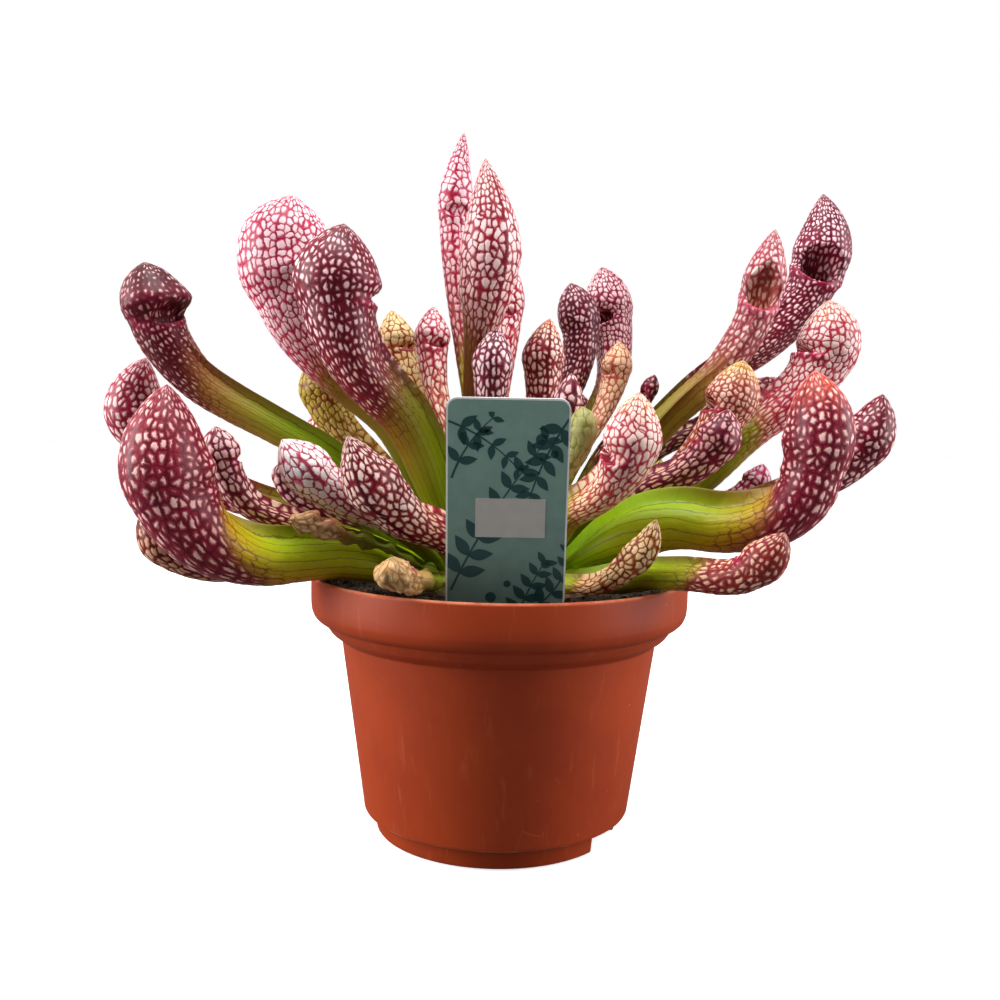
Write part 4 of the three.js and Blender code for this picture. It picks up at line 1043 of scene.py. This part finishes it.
def makeScatterTree(name, kind, material):  # lays many crumbs or fibres on a surface
    tree, inputs = newTree(name, Density=1000.0, Size=0.001, Seed=1)
    seed = inputs["Seed"]
    spread = {"Mesh": inputs["Geometry"], "Density": inputs["Density"], "Seed": seed}
    spots = field(tree, "GeometryNodeDistributePointsOnFaces", "Points", spread)
    shape, values = peat[kind]
    grain = field(tree, shape, "Mesh", values)

    def between(limits, start):
        values = {0: limits[0], 1: limits[1], "Seed": start}
        return field(tree, "FunctionNodeRandomValue", 0, values, data_type="FLOAT_VECTOR")

    turn = between(peat[kind + "Turns"], seed)
    scale = between(peat[kind + "Stretch"], seed + 7).scaled(inputs["Size"])
    laid = {"Points": spots, "Instance": grain, "Rotation": turn, "Scale": scale}
    closeTree(tree, field(tree, "GeometryNodeInstanceOnPoints", "Instances", laid), material)
    return tree


def scatterOn(surface, tree, name, density, size, seed):
    piece = newPiece(name, surface.copy())
    runTree(piece, tree, Density=density, Size=size * mm, Seed=seed)
    return piece


def joinPieces(name, parts):
    first = {"active_object": parts[0], "object": parts[0]}
    with bpy.context.temp_override(selected_objects=parts, selected_editable_objects=parts, **first):
        bpy.ops.object.join()
    parts[0].name = parts[0].data.name = name
    return parts[0]


def surfaceOf(body):  # the peat's top inside the rim, where crumbs lie
    shape = bmesh.new()
    shape.from_mesh(body.data)
    middles = {face: face.calc_center_median() for face in shape.faces}
    low, reach = (soil["top"] - 1.3) * mm, peat["crumbReach"] * mm
    away = [face for face, middle in middles.items() if middle.z < low or middle.xy.length > reach]
    bmesh.ops.delete(shape, geom=away, context="FACES")
    return meshOf(shape, "peatSurface")


def makePeat():
    earth, stone, straw = (makeEarthMaterial(name, *look) for name, look in peat["earths"].items())
    reach, low, top = rim - wall - 0.5, floorTop + 0.4, soil["top"] - 0.3
    under = [
        (0, low), (base - wall - 1.9, low), (base - wall - 0.5, low + 1.6),
        (shoulder - wall - 0.5, stepBottom), (stepOut - wall - 1, stepBottom + 4.4),
        (stepOut - wall - 0.5, stepTop), (reach - 2, band - 1), (reach, band + 2),
        (reach, soil["top"] - 1.4),
    ]
    over = [(r, top) for r in np.linspace(reach - 0.6, 0.6, 60)] + [(0, top)]
    body = newPiece("peatBody", lathe(under + over, 150, "peatBody"))
    raiseHills(body.data, peat, 11, soil["top"] - 0.5, reach - 1)
    body.data.materials.append(earth)
    surface = surfaceOf(body)
    crumbs = makeScatterTree("scatteredCrumbs", "crumb", earth)
    stones = makeScatterTree("scatteredStones", "crumb", stone)
    straws = makeScatterTree("scatteredFibres", "fibre", straw)
    layers = (
        (crumbs, "crumbsFine", peat["crumbs"], peat["crumbSize"], 3),
        (crumbs, "crumbsCoarse", peat["crumbs"] * 0.1, peat["crumbSize"] * 2.2, 5),
        (stones, "perlite", peat["perlite"], peat["perliteSize"], 9),
        (straws, "fibres", peat["fibres"], peat["fibreLength"], 12),
    )
    parts = [body] + [scatterOn(surface, *layer) for layer in layers]
    bpy.data.meshes.remove(surface)
    standFor(joinPieces("peat", parts), "peat", "soil")
    print("peat: crumbs, perlite and fibres")


def makeCrownMaterial():
    material, tree, place = newMaterial("crownBark")
    bark, moss = place.noise(260, 5, 0.65), place.noise(130, 4)
    color = blend(tree, bark.step(0.4, 0.65), crownLook["color"], crownLook["dryColor"])
    color = blend(tree, moss.step(0.46, 0.6, 0, 0.85), color, crownLook["mossColor"])
    setShader(tree, color, 0.85, (bark, crownLook["bump"] * mm, 0.8))
    return material


def makeCrown():
    reach, top = soil["crownRadius"], crown["top"] - 0.4
    bottom = soil["top"] - soil["crownDepth"] + 0.3
    under = [(0, bottom), (reach - 3, bottom), (reach, bottom + 3), (reach, crown["edge"] - 0.6)]
    radii = np.linspace(reach - 0.6, 0.4, 44)
    over = [(r, top - 1.2 * max(0, (r - reach + 5) / 5) ** 2) for r in radii] + [(0, top)]
    piece = newPiece("crown", lathe(under + over, 120, "crown"))
    raiseHills(piece.data, crownLook, 4, bottom + 4)
    piece.data.shade_smooth()
    piece.data.materials.append(makeCrownMaterial())
    standFor(piece, "crown", "rhizome")
    print("crown: the base of the clump")


makePeat()
makeCrown()

# ---- plant label, bare of lettering, with a generic leaf print
labelPrint = {
    "border": 0.5, "ink": 0.03, "bottom": 4.0, "bump": 0.02, "shine": (0.9, 0.95, 0.95, 1),
    "inks": {  # colours at the top and at the bottom
        "labelCard": (srgb("#e8eae8"), srgb("#e8eae8")), "labelGround": (srgb("#76968c"), srgb("#68847c")),
        "labelMotif": (srgb("#1a4242"), srgb("#1a4242")), "labelPanel": (srgb("#b0aeaa"), srgb("#b0aeaa")),
    },
    # x, y, heading, length, pairs of leaves, size of a leaf, bend
    "sprigs": (
        (2, -2, 78, 24, 6, 6.5, -20), (-15, 44, 70, 20, 4, 5.5, -30), (-15, 12, 66, 50, 9, 7.5, -14),
        (17, 62, 236, 34, 7, 6.5, 26), (6, 6, 30, 22, 5, 6.0, 60), (-17, 60, -20, 24, 5, 5.5, -30),
    ),
    "dots": ((9, 55, 1.6), (12.5, 51, 1.1), (-4, 10, 1.5), (0.5, 14, 1.0), (11, 20, 1.3)),  # x, y, radius
    "panel": ((10.5, 27.5), (10.5, 38.5), (-8.5, 38.5), (-8.5, 27.5)),
}


def labelPlace(x, y, out):  # a point on the label's front, out from its middle plane
    lean = math.radians(label["lean"])
    back = (label["bladeBottom"] - potTop) * math.tan(lean) + y * math.sin(lean) + out * math.cos(lean)
    up = label["bladeBottom"] + y * math.cos(lean) - out * math.sin(lean)
    return Vector((label["centreX"] + x, label["footY"] - back, up)) * mm


def labelOutline(inset):
    half, top = label["width"] / 2 - inset, label["top"] - label["bladeBottom"] - inset
    radius = label["corner"] - inset
    turns = np.linspace(0, math.pi / 2, 9)
    right = [(half - radius + radius * math.cos(a), top - radius + radius * math.sin(a)) for a in turns]
    return right + [(-x, y) for x, y in reversed(right)]


def prism(target, outline, low, high, slot):
    back = [target.verts.new(labelPlace(x, y, low)) for x, y in outline]
    front = [target.verts.new(labelPlace(x, y, high)) for x, y in outline]
    sides = zip(back, back[1:] + back[:1], front[1:] + front[:1], front)
    for corners in (front, back[::-1], *sides):
        target.faces.new(corners).material_index = slot


def clipped(outline, half, low, high):  # keeps the part of a convex outline that lies on the print
    for axis, limit, sign in ((0, half, 1), (0, -half, -1), (1, high, 1), (1, low, -1)):
        kept = []
        for here, there in zip(outline, outline[1:] + outline[:1]):
            insideHere, insideThere = ((point[axis] - limit) * sign <= 0 for point in (here, there))
            if insideHere:
                kept.append(here)
            if insideHere != insideThere:
                t = (limit - here[axis]) / (there[axis] - here[axis])
                kept.append((here[0] + (there[0] - here[0]) * t, here[1] + (there[1] - here[1]) * t))
        outline = kept if len(kept) > 2 else []
    return outline


def sprig(x, y, heading, length, count, size, bend):  # a stem with pairs of pointed oval leaves
    shapes, steps = [], count * 2
    oval = [(t, 0.24 * math.sin(math.pi * t**0.8)) for t in np.linspace(0, 1, 9)]
    oval += [(p, -q) for p, q in oval[-2:0:-1]]
    for k in range(steps):
        share = k / steps
        angle = math.radians(heading + bend * share)
        nx, ny = x + length / steps * math.cos(angle), y + length / steps * math.sin(angle)
        wide = 0.32 * (1 - 0.6 * share)
        sx, sy = -math.sin(angle) * wide, math.cos(angle) * wide
        shapes.append([(x - sx, y - sy), (nx - sx, ny - sy), (nx + sx, ny + sy), (x + sx, y + sy)])
        for side in (1, -1) if k % 2 else ():
            tilt, reach = angle + side * math.radians(58), size * (1 - 0.45 * share)
            c, s = reach * math.cos(tilt), reach * math.sin(tilt)
            shapes.append([(nx + p * c - q * s, ny + p * s + q * c) for p, q in oval])
        x, y = nx, ny
    return shapes


def makeInk(name, first, second):
    material, tree, place = newMaterial(name)
    color = blend(tree, place.part("Z").step(0.085, 0.13, 1, 0), first, second)
    cloud = place.noise(300).step(0.3, 0.8, 0, 0.18)
    color = blend(tree, cloud, color, labelPrint["shine"], "SOFT_LIGHT")
    setShader(tree, color, 0.38, (place.noise(3000, 2), labelPrint["bump"] * mm, 0.4))
    return material


def makeLabel():
    plate = bmesh.new()
    half, top = label["width"] / 2, label["top"] - label["bladeBottom"]
    thick, tip = label["thickness"] / 2, label["tip"] - label["bladeBottom"]
    prism(plate, labelOutline(0) + [(-half, 0), (0, tip), (half, 0)], -thick, thick, 0)
    sharp = [edge for edge in plate.edges if edge.calc_face_angle(0) > 1]
    bmesh.ops.bevel(plate, geom=sharp, offset=0.14 * mm, segments=2, affect="EDGES", profile=0.6)
    border, ink, low = labelPrint["border"], labelPrint["ink"], labelPrint["bottom"]
    high, side, under = top - border, half - border, thick - 0.1
    prism(plate, labelOutline(border) + [(-side, low), (side, low)], under, thick + ink, 1)
    shapes = [shape for values in labelPrint["sprigs"] for shape in sprig(*values)]
    shapes = [clipped(shape, side - 0.02, low + 0.1, high - 3.2) for shape in shapes]
    turns = np.linspace(0, turnAll, 20, endpoint=False)
    shapes += [[(x + r * math.cos(a), y + r * math.sin(a)) for a in turns] for x, y, r in labelPrint["dots"]]
    for shape in filter(None, shapes):
        prism(plate, shape, under, thick + 2 * ink, 2)
    prism(plate, labelPrint["panel"], under, thick + 3.2 * ink, 3)
    bmesh.ops.recalc_face_normals(plate, faces=plate.faces)
    piece = newPiece("plantLabel", meshOf(plate, "plantLabel"))
    for name, colors in labelPrint["inks"].items():
        piece.data.materials.append(makeInk(name, *colors))
    standFor(piece, "label_plastic", "plant_label")
    print("label: card with a leaf print and a blank panel")


makeLabel()
